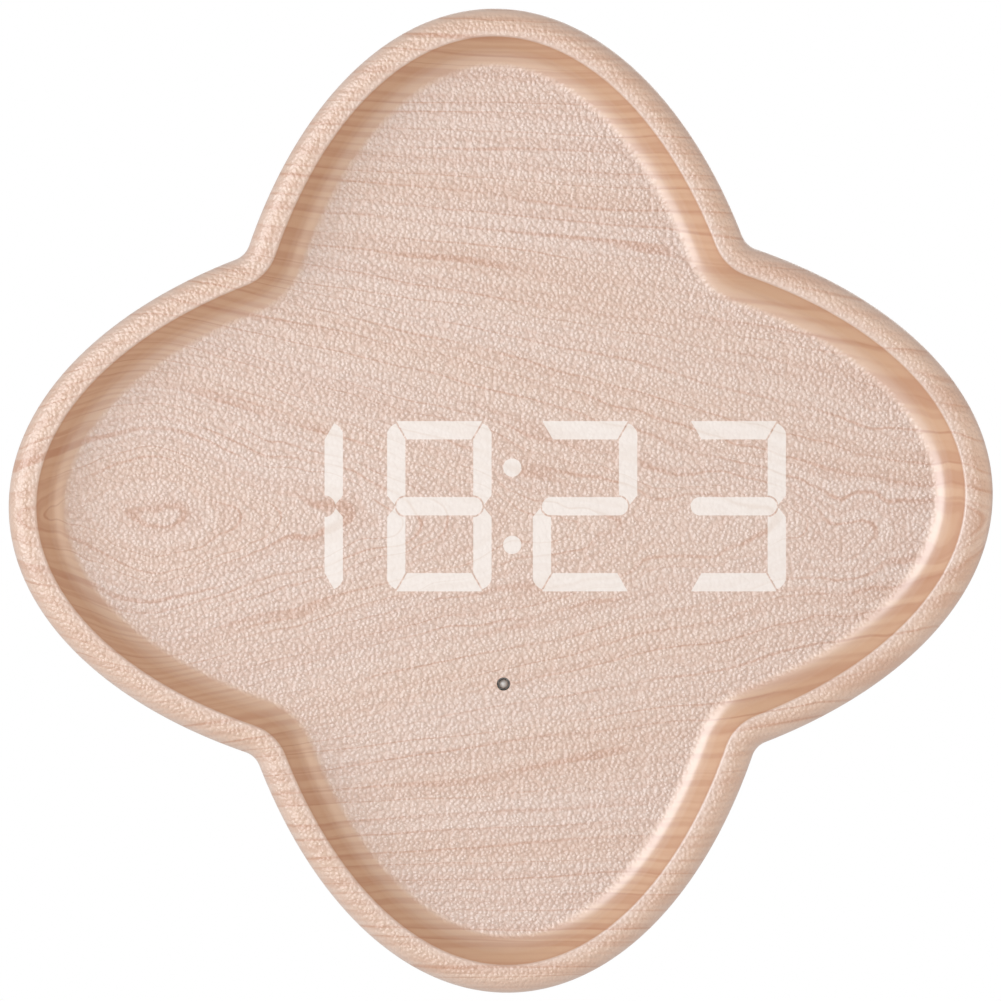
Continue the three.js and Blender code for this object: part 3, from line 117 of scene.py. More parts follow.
@dataclass(frozen=True)
class RoundedBox(Shape):
    """A rectangle with round corners. A corner of half the height makes a stadium."""

    width: float
    height: float
    corner: float
    x: float = 0.0
    z: float = 0.0
    steps: int = 6

    def points(self, grow: float = 0.0) -> list[Point]:
        """Gives the points of the rectangle, from the right end of its top side.

        Args:
            grow: how far the edge is moved outwards.

        Returns:
            The points, anticlockwise.
        """
        reach_x = self.width / 2 - self.corner
        reach_z = self.height / 2 - self.corner
        radius = self.corner + grow
        found = []
        for quarter, (sx, sz) in enumerate(((1, 1), (-1, 1), (-1, -1), (1, -1))):
            side = reach_x if quarter % 2 else reach_z
            first = 0 if side > NO_SIDE else 1
            for i in range(first, self.steps + 1):
                angle = (quarter + i / self.steps) * math.pi / 2
                found.append((
                    self.x + sx * reach_x + radius * math.cos(angle),
                    self.z + sz * reach_z + radius * math.sin(angle),
                ))
        return found


@dataclass(frozen=True)
class Cross(Shape):
    """The cross recess of a screw head."""

    reach: float
    arm: float
    x: float = 0.0
    z: float = 0.0

    def points(self, grow: float = 0.0) -> list[Point]:
        """Gives the twelve corners of the cross.

        Args:
            grow: how far the edge is moved outwards.

        Returns:
            The points, anticlockwise.
        """
        far = self.reach / 2 + grow
        near = self.arm / 2 + grow
        corner = [(far, near), (near, near), (near, far)]
        found = list(corner)
        for _ in range(3):
            corner = [(-z, x) for x, z in corner]
            found.extend(corner)
        return [(self.x + x, self.z + z) for x, z in found]


@dataclass(frozen=True)
class Keyhole(Shape):
    """A round entry with a slot above it that ends in a half circle."""

    entry: float
    slot: float
    rise: float
    x: float
    z: float
    steps: int = 40

    def points(self, grow: float = 0.0) -> list[Point]:
        """Gives the points of the keyhole: its entry, then the end of its slot.

        Args:
            grow: how far the edge is moved outwards.

        Returns:
            The points, anticlockwise.
        """
        entry = self.entry / 2 + grow
        slot = self.slot / 2 + grow
        gap = math.asin(slot / entry)
        found = []
        for i in range(self.steps + 1):
            angle = math.pi / 2 + gap + (2 * math.pi - 2 * gap) * i / self.steps
            found.append((self.x + entry * math.cos(angle), self.z + entry * math.sin(angle)))
        half = self.steps // 2
        for i in range(half + 1):
            angle = math.pi * i / half
            found.append((self.x + slot * math.cos(angle), self.z + self.rise + slot * math.sin(angle)))
        return found


@dataclass(frozen=True)
class Poly(Shape):
    """A shape given by its own corners."""

    corners: tuple[Point, ...]

    def points(self, grow: float = 0.0) -> list[Point]:
        """Gives the corners, each moved away from the middle of the shape by grow.

        Args:
            grow: how far the edge is moved outwards.

        Returns:
            The points, anticlockwise.
        """
        middle_x = sum(x for x, _ in self.corners) / len(self.corners)
        middle_z = sum(z for _, z in self.corners) / len(self.corners)
        found = []
        for x, z in self.corners:
            away = math.hypot(x - middle_x, z - middle_z)
            share = (away + grow) / away
            found.append((middle_x + (x - middle_x) * share, middle_z + (z - middle_z) * share))
        return found


@dataclass(frozen=True)
class Outline(Shape):
    """The clock's outline: two equal ellipses crossed at right angles, with rounded junctions."""

    span: float = 300 * MM
    lobe_width: float = 177 * MM
    junction_radius: float = 6.8 * MM
    turn: float = math.radians(1.13)
    lobes: int = 4
    lobe_steps: int = 84
    junction_steps: int = 12
    halvings: int = 60

    def on_lobe(self, angle: float) -> tuple[Vector, Vector]:
        """Gives a point of the right lobe's ellipse and its outward direction.

        Args:
            angle: the ellipse angle in radians.

        Returns:
            The point and the unit vector that points outwards.
        """
        a, b = self.span / 2, self.lobe_width / 2
        point = Vector((a * math.cos(angle), b * math.sin(angle)))
        return point, Vector((math.cos(angle) / a, math.sin(angle) / b)).normalized()

    def touch_angle(self) -> float:
        """Finds the ellipse angle, in radians, where the junction's fillet touches the lobe.

        Returns:
            The angle.
        """
        low, high = 0.0, math.atan2(self.span, self.lobe_width)
        for _ in range(self.halvings):
            middle = (low + high) / 2
            point, outward = self.on_lobe(middle)
            centre = point + outward * self.junction_radius
            low, high = (middle, high) if centre.x > centre.y else (low, middle)
        return (low + high) / 2

    def ring(self) -> list[tuple[Vector, Vector]]:
        """Gives every point of the outline with the direction that points inwards there.

        Returns:
            The points, anticlockwise, each with its direction.
        """
        touch = self.touch_angle()
        point, outward = self.on_lobe(touch)
        centre = point + outward * self.junction_radius
        start = math.atan2(point.y - centre.y, point.x - centre.x) % (2 * math.pi)
        diagonal = math.pi * 1.25
        sweep = 2 * (start - diagonal)
        lobe = []
        for i in range(self.lobe_steps + 1):
            at, out = self.on_lobe(touch * (2 * i / self.lobe_steps - 1))
            lobe.append((at, -out))
        for i in range(1, self.junction_steps):
            angle = start - sweep * i / self.junction_steps
            inward = Vector((math.cos(angle), math.sin(angle)))
            lobe.append((centre + inward * self.junction_radius, inward))
        found = []
        for quarter in range(self.lobes):
            angle = self.turn + quarter * 2 * math.pi / self.lobes
            for at, inward in lobe:
                found.append((turned(at, angle), turned(inward, angle)))
        return found

    def points(self, grow: float = 0.0) -> list[Point]:
        """Gives the outline's points."""
        return [tuple(at - inward * grow) for at, inward in self.ring()]


def turned(vector: Vector, angle: float) -> Vector:
    """Turns a flat vector anticlockwise by an angle."""
    c, s = math.cos(angle), math.sin(angle)
    return Vector((vector.x * c - vector.y * s, vector.x * s + vector.y * c))


# Building closed pieces from loops


@dataclass
class Ring:
    """A closed loop of a shell, with the shape that it follows."""

    verts: list[BMVert]
    edges: list[BMEdge]
    shape: Shape


def in_scene(name: str, data: ID) -> Object:
    """Makes an object of a mesh, a lamp or a camera, and puts it in the scene.

    Args:
        name: the object's name.
        data: what it is made of.

    Returns:
        The object.
    """
    made = bpy.data.objects.new(name, data)
    bpy.context.scene.collection.objects.link(made)
    return made


Ends = tuple[list[Ring], list[Ring]]


class Shell:
    """A piece in the making: loops at depths, walls between them and flat faces across them."""

    def __init__(self, name: str) -> None:
        """Starts an empty piece of that name.

        Args:
            name: the name of the piece.
        """
        self.name = name
        self.bm = bmesh.new()
        self.wall = self.bm.verts.layers.float.new("wall")
        self.emboss = self.bm.verts.layers.float.new("emboss")
        self.gloss = self.bm.verts.layers.float.new("gloss")

    def loop(self, shape: Shape, y: float, grow: float = 0.0) -> Ring:
        """Starts a loop.

        Args:
            shape: the flat shape that it follows.
            y: its depth.
            grow: how far it is moved outwards.

        Returns:
            The loop.
        """
        places = shape.points(grow)
        made = bmesh.ops.create_circle(self.bm, cap_ends=False, segments=len(places), radius=1.0)
        return self._placed(made["verts"], shape, places, y)

    def to(self, ring: Ring, y: float, grow: float = 0.0) -> Ring:
        """Draws a wall from a loop to the same shape at another depth.

        Args:
            ring: the loop that the wall starts from.
            y: the depth where it ends.
            grow: how far its end is moved outwards.

        Returns:
            The loop at the wall's end.
        """
        made = bmesh.ops.extrude_edge_only(self.bm, edges=ring.edges)["geom"]
        fresh = {v for v in made if isinstance(v, BMVert)}
        verts = []
        for vert in ring.verts:
            across = (edge.other_vert(vert) for edge in vert.link_edges)
            verts.append(next(v for v in across if v in fresh))
        return self._placed(verts, ring.shape, ring.shape.points(grow), y)

    def path(self, ring: Ring, *steps: Point) -> Ring:
        """Draws a wall through several steps.

        Args:
            ring: the loop that the wall starts from.
            steps: the depth and the growth of each step.

        Returns:
            The loop at the wall's end.
        """
        for y, grow in steps:
            ring = self.to(ring, y, grow)
        return ring

    def flat(self, *rings: Ring, crease: bool = True) -> None:
        """Closes a flat area: the first loop is its outer edge and the others are holes in it.

        Args:
            rings: the loops, all at one depth.
            crease: whether the loops become sharp edges.
        """
        edges = [edge for ring in rings for edge in ring.edges]
        if crease:
            for edge in edges:
                edge.smooth = False
        bmesh.ops.triangle_fill(self.bm, use_beauty=True, use_dissolve=False, edges=edges)

    def bar(self, shape: Shape, *steps: Point) -> None:
        """Draws a closed bar through several steps.

        Args:
            shape: the bar's flat shape.
            steps: the depth and the growth of each step.
        """
        first = self.loop(shape, *steps[0])
        last = self.path(first, *steps[1:])
        self.flat(first)
        self.flat(last)

    def pit(self, shape: Shape, y: float, end_y: float, grow: float = 0.0) -> Ring:
        """Sinks a blind hole with a flat end.

        Args:
            shape: the hole's flat shape.
            y: the depth of its mouth.
            end_y: the depth of its end.
            grow: how far its end is moved outwards.

        Returns:
            The loop at its mouth.
        """
        mouth = self.loop(shape, y)
        self.flat(self.to(mouth, end_y, grow))
        return mouth

    def bore(self, shape: Shape, y: float, end_y: float, edge: float) -> tuple[Ring, Ring]:
        """Drills a through hole with a broken edge at its mouth, and gives its two ends."""
        mouth = self.loop(shape, y, edge)
        return mouth, self.path(mouth, (y - edge, 0.0), (end_y, 0.0))

    def mark(self, ring: Ring, wall: float, emboss: float, gloss: float = 0.0) -> None:
        """Writes on a loop what the film's surface is like there.

        Args:
            ring: the loop.
            wall: how much of the wall's colour it takes; above 1, how much painted shade it takes as well.
            emboss: how deep the emboss is.
            gloss: how glossy it is.
        """
        for vert in ring.verts:
            vert[self.wall] = wall
            vert[self.emboss] = emboss
            vert[self.gloss] = gloss

    def finish(self, sheet: bool = False) -> Object:
        """Turns the shell into an object.

        Args:
            sheet: whether it is an open skin whose flat faces must look to the front.

        Returns:
            The object, at the origin, with its place in its mesh.
        """
        bmesh.ops.remove_doubles(self.bm, verts=self.bm.verts, dist=SAME_PLACE)
        bmesh.ops.recalc_face_normals(self.bm, faces=self.bm.faces)
        if sheet:
            flattest = min(self.bm.faces, key=lambda face: 1 - abs(face.normal.y))
            if flattest.normal.y > 0:
                bmesh.ops.reverse_faces(self.bm, faces=self.bm.faces)
        for face in self.bm.faces:
            face.smooth = True
        for edge in self.bm.edges:
            if len(edge.link_faces) == 2 and edge.calc_face_angle() > SMOOTH_LIMIT:
                edge.smooth = False
        mesh = bpy.data.meshes.new(self.name)
        self.bm.to_mesh(mesh)
        self.bm.free()
        return in_scene(self.name, mesh)

    def _placed(self, verts: list[BMVert], shape: Shape, places: list[Point], y: float) -> Ring:
        """Moves vertices onto their places at a depth and gives their loop.

        Args:
            verts: the vertices.
            shape: the shape that they follow.
            places: a place for each of them.
            y: their depth.

        Returns:
            The loop.
        """
        for vert, (x, z) in zip(verts, places, strict=True):
            vert.co = (x, y, z)
        edges = [self.bm.edges.get((a, b)) for a, b in zip(verts, verts[1:] + verts[:1])]
        return Ring(verts, edges, shape)


# Finishes


class Graph:
    """The node tree of one material, with short ways to add and join its nodes."""

    def __init__(self, name: str) -> None:
        """Makes the material and keeps its shader.

        Args:
            name: the name of the material.
        """
        self.material: Material = bpy.data.materials.new(name)
        self.material.use_nodes = True
        self.tree = self.material.node_tree
        self.shader: Node = self.tree.nodes["Principled BSDF"]

    def add(self, kind: str, inputs: dict[str | int, Value], **settings: object) -> Node:
        """Adds a node.

        Args:
            kind: the node's type.
            inputs: what goes into each of its sockets, a value or another node's output.
            settings: the node's own options.

        Returns:
            The node.
        """
        node = self.tree.nodes.new(kind)
        for key, setting in settings.items():
            setattr(node, key, setting)
        for key, value in inputs.items():
            self.feed(node.inputs[key], value)
        return node

    def feed(self, socket: NodeSocket, value: Value) -> None:
        """Sets a socket to a value, or joins another node's output to it.

        Args:
            socket: the socket.
            value: what goes into it.
        """
        if isinstance(value, NodeSocket):
            self.tree.links.new(value, socket)
        else:
            socket.default_value = value

    def set(self, **sockets: Value) -> None:
        """Feeds the shader's sockets, whose names are written with _ for a space."""
        for key, value in sockets.items():
            self.feed(self.shader.inputs[key.replace("_", " ")], value)

    def place(self) -> NodeSocket:
        """Gives the place on the object, in metres."""
        return self.add("ShaderNodeTexCoord", {}).outputs["Object"]

    def attribute(self, name: str) -> NodeSocket:
        """Reads a value that Shell.mark wrote on the piece."""
        return self.add("ShaderNodeAttribute", {}, attribute_name=name).outputs["Fac"]

    def math(self, operation: str, *values: Value) -> NodeSocket:
        """Adds a Math node and gives its result."""
        return self.add("ShaderNodeMath", dict(enumerate(values)), operation=operation).outputs[0]

    def scaled(self, vector: Value, x: float, y: float, z: float) -> NodeSocket:
        """Stretches a vector along the axes."""
        return self.add("ShaderNodeMapping", {"Vector": vector, "Scale": (x, y, z)}).outputs[0]

    def noise(self, vector: Value, scale: float, detail: float = 2.0, rough: float = 0.5) -> NodeSocket:
        """Gives soft noise of a scale per metre.

        Args:
            vector: where it is read.
            scale: its frequency.
            detail: how many finer layers it has.
            rough: how strong the finer layers are.

        Returns:
            A value around 0.5.
        """
        inputs = {"Vector": vector, "Scale": scale, "Detail": detail, "Roughness": rough}
        return self.add("ShaderNodeTexNoise", inputs).outputs["Fac"]

    def cells(self, vector: Value, scale: float) -> NodeSocket:
        """Gives the distance to the nearest of many scattered points."""
        inputs = {"Vector": vector, "Scale": scale}
        return self.add("ShaderNodeTexVoronoi", inputs, feature="F1").outputs["Distance"]

    def span(
        self, value: Value, low: float, high: float, start: float = 0.0, end: float = 1.0,
    ) -> NodeSocket:
        """Stretches a value from one range to another, smoothly, and holds it inside.

        Args:
            value: the value.
            low: where the range starts.
            high: where it ends.
            start: the result at low.
            end: the result at high.

        Returns:
            The result.
        """
        inputs = {"Value": value, "From Min": low, "From Max": high, "To Min": start, "To Max": end}
        node = self.add("ShaderNodeMapRange", inputs, interpolation_type="SMOOTHSTEP")
        return node.outputs["Result"]

    def blend(self, share: Value, first: Value, second: Value) -> NodeSocket:
        """Mixes two colours and gives the result."""
        inputs = {0: share, 6: four(first), 7: four(second)}
        return self.add("ShaderNodeMix", inputs, data_type="RGBA").outputs[2]

    def sway(self, value: Value, start: float = 0.0, end: float = 1.0) -> NodeSocket:
        """Lets noise, a value around 0.5, run from a start to an end."""
        return self.span(value, *NOISE_REACH, start, end)

    def shades(self, value: Value, tone: Colour, darker: float, lighter: float) -> NodeSocket:
        """Lets a tone run from a darker to a lighter copy of itself with noise."""
        return self.blend(self.sway(value), tinted(tone, darker), tinted(tone, lighter))

    def stain(self, base: Value, colour: Value, value: Value, amount: Value) -> NodeSocket:
        """Lets a colour show on a base, by a value times an amount."""
        return self.blend(self.math("MULTIPLY", value, amount), base, colour)

    def relief(self, height: Value, distance: float, strength: Value = 1.0) -> NodeSocket:
        """Gives the bumped normal of a height.

        Args:
            height: the height, from 0 to 1.
            distance: how many metres a height of 1 is.
            strength: how much of it shows.

        Returns:
            The normal.
        """
        inputs = {"Height": height, "Distance": distance, "Strength": strength}
        return self.add("ShaderNodeBump", inputs).outputs["Normal"]


def four(colour: Value) -> Value:
    """Gives a colour its fourth channel, and leaves a socket as it is."""
    return colour if isinstance(colour, NodeSocket) else (*colour, 1.0)


def tinted(colour: Colour, share: float) -> Colour:
    """Gives a lighter or darker copy of a colour."""
    return tuple(min(1.0, channel * share) for channel in colour)


@dataclass(frozen=True)
class Finish:
    """What all finishes share: a name, and a graph that each fills in its own way."""

    name: str

    def material(self) -> Material:
        """Makes the material.

        Returns:
            The material.
        """
        g = Graph(self.name)
        self.paint(g, g.place())
        return g.material

    def paint(self, g: Graph, place: NodeSocket) -> None:
        """Fills the graph of the material.

        Args:
            g: the graph.
            place: the place on the object, in metres.
        """
        raise NotImplementedError


@dataclass(frozen=True)
class GrainFilmFinish(Finish):
    """Pale maple grain film with a pebble emboss, bare or lit from behind.

    The figure is a field of arrow shapes that point to the right, with their eye at the left, and
    turns into straight lines towards the upper and lower lobes. Its lengths are in millimetres,
    apart from relief, which is in metres.
    """

    # pale: the flats, the film's colour with painted sheen in part; wall: the browner film on the wall
    pale: Colour = (0.595, 0.444, 0.366)
    wall: Colour = (0.562, 0.335, 0.195)
    # dark: the colour of the grain's lines and of the painted shade
    dark: Colour = (0.42, 0.18, 0.085)
    glow: float = 0.0
    eye_x: float = -107.0
    eye_z: float = -4.0
    eye_round: float = 10.0
    lean: float = 0.02
    slope: float = 0.42
    ease: float = 260.0
    reach: float = 80.0
    tip_round: float = 7.0
    swirl: float = 15.0
    swirl_reach: float = 27.0
    swirl_scale: float = 27.0
    waver: float = 2.2
    pitch: float = 4.2
    jitter: float = 2.6
    jitter_pitch: float = 7.0
    band_pitch: float = 13.0
    streak_pitch: float = 1.5
    drift: float = 0.006
    line_edge: Point = (0.015, 0.095)
    # how dark the painted shade under the rim's inner edge gets
    under_edge_shade: float = 0.55
    band_share: float = 0.2
    streak_share: Point = (0.18, 0.55)
    line_share: Point = (0.5, 0.8)
    pebble: float = 1.2
    relief: float = 0.62 * MM
    valley_shade: float = 0.15
    # painted shade in the emboss's valleys: where it starts and how dark it gets
    valley_shade_reach: Point = (0.34, 0.56)
    rough: float = 0.4
    rough_swing: float = 0.06
    wall_polish: float = 0.08
    ior: float = 1.65
    coat: Point = (0.22, 1.0)
    coat_rough: float = 0.4
    coat_ior: float = 2.0

    def paint(self, g: Graph, place: NodeSocket) -> None:
        """Draws the grain, the emboss, painted shade and painted sheen; the wall is browner and the cove
        glossier.

        Args:
            g: the graph that it fills.
            place: the place on the object, in metres.
        """
        wall, emboss, gloss = (g.attribute(name) for name in ("wall", "emboss", "gloss"))
        lines, bands, streaks = self.figure(g, place)
        # the film is paler on the flats than on the wall: partly its own colour, partly painted sheen of
        # the emboss
        base = g.blend(wall, self.pale, self.wall)
        # painted shade: a dark band on the wall just under the rim's inner edge, where the wall value runs
        # above 1
        base = g.blend(g.span(wall, 1.0, 1.5, 0.0, self.under_edge_shade), base, self.dark)
        base = g.stain(base, self.wall, bands, self.band_share)
        # the grain shows fainter on the flats than on the wall, partly as painted sheen over it
        base = g.stain(base, self.dark, streaks, g.span(wall, 0.0, 1.0, *self.streak_share))
        base = g.stain(base, self.dark, lines, g.span(wall, 0.0, 1.0, *self.line_share))
        height = self.pebbles(g, place)
        # painted shade: the emboss's valleys are darker
        base = g.stain(base, self.dark, g.span(height, *self.valley_shade_reach, self.valley_shade, 0.0), emboss)
        swing = g.sway(height, self.rough_swing, -self.rough_swing)
        rough = g.math("MULTIPLY_ADD", swing, emboss, self.rough)
        g.set(
            Base_Color=base,
            Roughness=g.math("MULTIPLY_ADD", wall, -self.wall_polish, rough),
            Specular_IOR_Level=1.0,
            IOR=self.ior,
            Coat_Weight=g.span(gloss, 0.0, 1.0, *self.coat),
            Coat_Roughness=self.coat_rough,
            Coat_IOR=self.coat_ior,
            Normal=g.relief(height, self.relief, emboss),
        )
        if self.glow:
            g.set(Emission_Color=base, Emission_Strength=self.glow)

    def figure(self, g: Graph, place: NodeSocket) -> tuple[NodeSocket, NodeSocket, NodeSocket]:
        """Draws the grain.

        Args:
            g: the graph that it is drawn in.
            place: the place on the object.

        Returns:
            The dark lines, the broad bands and the fine streaks, each from 0 to 1.
        """
        split = g.add("ShaderNodeSeparateXYZ", {"Vector": place})
        x = g.math("MULTIPLY_ADD", split.outputs["X"], 1 / MM, -self.eye_x)
        z = g.math("MULTIPLY_ADD", split.outputs["Z"], 1 / MM, -self.eye_z)
        v = g.math("MULTIPLY_ADD", x, self.lean, z)
        squared = g.math("MULTIPLY", v, v)
        near = g.math("EXPONENT", g.math("DIVIDE", squared, -self.reach**2))
        middle = g.math("EXPONENT", g.math("DIVIDE", squared, -self.swirl_reach**2))
        across = g.math("SQRT", g.math("ADD", squared, self.tip_round**2))
        along = g.math("SQRT", g.math("MULTIPLY_ADD", x, x, self.eye_round**2))
        ease = g.math("DIVIDE", along, g.math("MULTIPLY_ADD", along, 1 / self.ease, 1.0))
        arrow = g.math("MULTIPLY_ADD", g.math("MULTIPLY", ease, self.slope), near, across)
        swirl = g.math("MULTIPLY_ADD", middle, self.swirl, self.waver)
        soft = g.math("SUBTRACT", g.noise(place, self.swirl_scale, 2.5, 0.55), 0.5)
        level = g.math("MULTIPLY_ADD", soft, swirl, arrow)

        def row(pitch: float, detail: float) -> NodeSocket:
            """Gives noise that runs along the grain, with a pitch across it.

            Args:
                pitch: how many millimetres a wave of it takes.
                detail: how many finer layers it has.

            Returns:
                A value around 0.5.
            """
            side = g.math("MULTIPLY", x, self.drift)
            step = g.math("DIVIDE", level, pitch)
            vector = g.add("ShaderNodeCombineXYZ", {"X": step, "Y": side}).outputs[0]
            return g.noise(vector, 1.0, detail)

        jitter = g.math("MULTIPLY", row(self.jitter_pitch, 1.0), self.jitter)
        ring = g.math("FRACT", g.math("ADD", g.math("DIVIDE", level, self.pitch), jitter))
        thin = g.span(g.math("ABSOLUTE", g.math("SUBTRACT", ring, 0.5)), *self.line_edge, 1.0, 0.0)
        strength = g.noise(g.scaled(place, 7.0, 1.0, 110.0), 1.0, 2.0)
        lines = g.math("MULTIPLY", thin, g.span(strength, 0.34, 0.58, 0.2, 1.0))
        bands = g.span(row(self.band_pitch, 2.0), 0.35, 0.68)
        streaks = g.span(row(self.streak_pitch, 1.0), 0.42, 0.64)
        return lines, bands, streaks

    def pebbles(self, g: Graph, place: NodeSocket) -> NodeSocket:
        """Gives the height of the pebble emboss, from 0 to 1.

        Args:
            g: the graph that they are drawn in.
            place: the place on the object.

        Returns:
            The height.
        """
        bumps = g.math("MULTIPLY_ADD", g.cells(place, 1 / (self.pebble * MM)), -0.8, 0.72)
        grit = g.noise(place, 1.4 / (self.pebble * MM), 0.5)
        return g.math("MULTIPLY_ADD", grit, 0.4, bumps)


@dataclass(frozen=True)
class FibreFinish(Finish):
    """Routed fibreboard: fine matted fibres, bare."""

    tone: Colour = (0.46, 0.30, 0.19)

    def paint(self, g: Graph, place: NodeSocket) -> None:
        """Draws the matted fibres.

        Args:
            g: the graph that it fills.
            place: the place on the object, in metres.
        """
        fibres = g.noise(g.scaled(place, 900.0, 2600.0, 2600.0), 1.0, 4.0, 0.7)
        clouds = g.noise(place, 60.0, 3.0)
        tone = g.shades(fibres, self.tone, 0.62, 1.2)
        tone = g.stain(tone, tinted(self.tone, 0.75), clouds, 0.3)
        rough = g.span(fibres, 0.2, 0.8, 0.95, 0.8)
        g.set(Base_Color=tone, Roughness=rough, Normal=g.relief(fibres, 0.12 * MM, 0.7))


@dataclass(frozen=True)
class MouldedFinish(Finish):
    """Moulded plastic with a fine texture from its mould, and ink where a mark is printed."""

    tone: Colour
    rough: float = 0.5
    texture: float = 0.5
    pitch: float = 0.35
    ink: Colour | None = None
    rough_swing: float = 0.08

    def paint(self, g: Graph, place: NodeSocket) -> None:
        """Draws the mould's texture and any ink.

        Args:
            g: the graph that it fills.
            place: the place on the object, in metres.
        """
        bite = g.noise(place, 1 / (self.pitch * MM), 3.0, 0.6)
        clouds = g.noise(place, 45.0, 2.0)
        tone = g.shades(clouds, self.tone, 0.9, 1.12)
        # painted highlight: the texture's raised points are lighter
        tone = g.blend(g.span(bite, 0.35, 0.75, 0.0, 0.35), tone, tinted(self.tone, 1.5))
        if self.ink:
            tone = g.blend(g.span(g.attribute("wall"), 0.4, 0.9), tone, self.ink)
        rough = g.span(bite, 0.25, 0.75, self.rough + self.rough_swing, self.rough - self.rough_swing)
        normal = g.relief(bite, 0.05 * MM, self.texture)
        g.set(Base_Color=tone, Roughness=rough, Normal=normal)


class Brush(Enum):
    """Which way the fine scratches of a metal run."""

    ALONG_X = (60.0, 2400.0, 2400.0)
    SATIN = (1500.0, 1500.0, 1500.0)


@dataclass(frozen=True)
class MetalFinish(Finish):
    """Plated sheet or turned metal with fine scratches and a slight haze."""

    tone: Colour
    rough: float = 0.32
    brush: Brush = Brush.SATIN

    def paint(self, g: Graph, place: NodeSocket) -> None:
        """Draws the scratches and the haze.

        Args:
            g: the graph that it fills.
            place: the place on the object, in metres.
        """
        scratch = g.noise(g.scaled(place, *self.brush.value), 1.0, 3.0, 0.6)
        haze = g.noise(place, 90.0, 3.0)
        tone = g.shades(haze, self.tone, 0.88, 1.08)
        rough = g.math("ADD", g.sway(scratch, -0.06, 0.08), g.sway(haze, 0.0, 0.08))
        g.set(
            Base_Color=tone,
            Metallic=1.0,
            Roughness=g.math("ADD", rough, self.rough),
            Normal=g.relief(scratch, 0.02 * MM, 0.4),
        )


@dataclass(frozen=True)
class BoardFinish(Finish):
    """A circuit board: solder mask over copper tracks on a small grid."""

    mask: Colour = (0.018, 0.10, 0.045)
    track: Colour = (0.05, 0.20, 0.10)
    grid: float = 110.0

    def paint(self, g: Graph, place: NodeSocket) -> None:
        """Draws the tracks under the mask.

        Args:
            g: the graph that it fills.
            place: the place on the object, in metres.
        """
        grid = g.scaled(place, *(self.grid,) * 3)
        cell = {"Vector": grid, "Scale": 1.0, "Randomness": 0.25}
        lines = g.add("ShaderNodeTexVoronoi", cell, feature="DISTANCE_TO_EDGE")
        copper = g.span(lines.outputs["Distance"], 0.02, 0.06, 1.0, 0.0)
        pores = g.noise(place, 2200.0, 2.0)
        tone = g.blend(copper, self.mask, self.track)
        tone = g.stain(tone, tinted(self.mask, 0.6), pores, 0.2)
        height = g.math("MULTIPLY_ADD", pores, 0.2, copper)
        g.set(
            Base_Color=tone,
            Roughness=g.sway(pores, 0.32, 0.44),
            Normal=g.relief(height, 0.04 * MM, 0.8),
        )


@dataclass(frozen=True)
class SoftFinish(Finish):
    """Foam, pad or foil: a surface with pores or creases of its own size."""

    tone: Colour
    pore: float
    depth: float
    rough: float = 0.9

    def paint(self, g: Graph, place: NodeSocket) -> None:
        """Draws the pores or creases.

        Args:
            g: the graph that it fills.
            place: the place on the object, in metres.
        """
        pores = g.cells(place, 1 / self.pore)
        clouds = g.noise(place, 80.0, 3.0)
        # painted shade: each pore or crease is darker towards its bottom
        tone = g.stain(self.tone, tinted(self.tone, 0.6), g.span(pores, 0.0, 0.6, 1.0, 0.0), 0.5)
        tone = g.stain(tone, tinted(self.tone, 1.3), clouds, 0.25)
        rough = g.sway(clouds, self.rough - 0.08, self.rough + 0.06)
        g.set(Base_Color=tone, Roughness=rough, Normal=g.relief(pores, self.depth, 0.8))


@dataclass(frozen=True)
class ClearFinish(Finish):
    """Milky cast epoxy with a polished skin."""

    tone: Colour = (0.50, 0.47, 0.44)

    def paint(self, g: Graph, place: NodeSocket) -> None:
        """Draws the swirls in the epoxy.

        Args:
            g: the graph that it fills.
            place: the place on the object, in metres.
        """
        swirl = g.noise(place, 500.0, 3.0)
        tone = g.blend(swirl, tinted(self.tone, 0.8), tinted(self.tone, 1.4))
        rough = g.sway(swirl, 0.06, 0.14)
        g.set(
            Base_Color=tone,
            Roughness=rough,
            Normal=g.relief(swirl, 0.01 * MM, 0.3),
            Coat_Weight=0.6,
            IOR=1.53,
        )


GRAIN = GrainFilmFinish("grain film")
LIT = GrainFilmFinish(
    "lit grain film", pale=(0.59, 0.525, 0.48), wall=(0.57, 0.49, 0.43), dark=(0.50, 0.40, 0.33), glow=0.16,
    relief=0.08 * MM, valley_shade=0.05,
)
FIBRE = FibreFinish("fibreboard")
COVER = MouldedFinish("cover plastic", (0.034, 0.034, 0.036), 0.55, 0.7, 0.45)
BUTTON = MouldedFinish("button plastic", (0.075, 0.075, 0.08), 0.45, 0.3, 0.3, (0.55, 0.55, 0.53))
BLACK = MouldedFinish("black moulding", (0.022, 0.022, 0.023), 0.42, 0.4, 0.3)
WHITE = MouldedFinish("white moulding", (0.80, 0.79, 0.75), 0.4, 0.4, 0.4)
DIFFUSER = MouldedFinish("diffuser sheet", (0.86, 0.82, 0.77), 0.5, 0.3, 0.3)
ZINC = MetalFinish("zinc plate", (0.60, 0.61, 0.63), 0.34, Brush.ALONG_X)
NICKEL = MetalFinish("nickel", (0.66, 0.65, 0.62), 0.26)
SCREW = MetalFinish("screw steel", (0.46, 0.46, 0.47), 0.3)
GOLD = MetalFinish("gilt contact", (0.80, 0.58, 0.24), 0.25)
BOARD = BoardFinish("circuit board")
FOAM = SoftFinish("black foam", (0.02, 0.02, 0.021), 0.5 * MM, 0.15 * MM, 0.9)
PAD = SoftFinish("adhesive pad", (0.74, 0.70, 0.60), 0.6 * MM, 0.1 * MM, 0.85)
FOIL = SoftFinish("battery wrap", (0.40, 0.45, 0.50), 3.0 * MM, 0.12 * MM, 0.34)
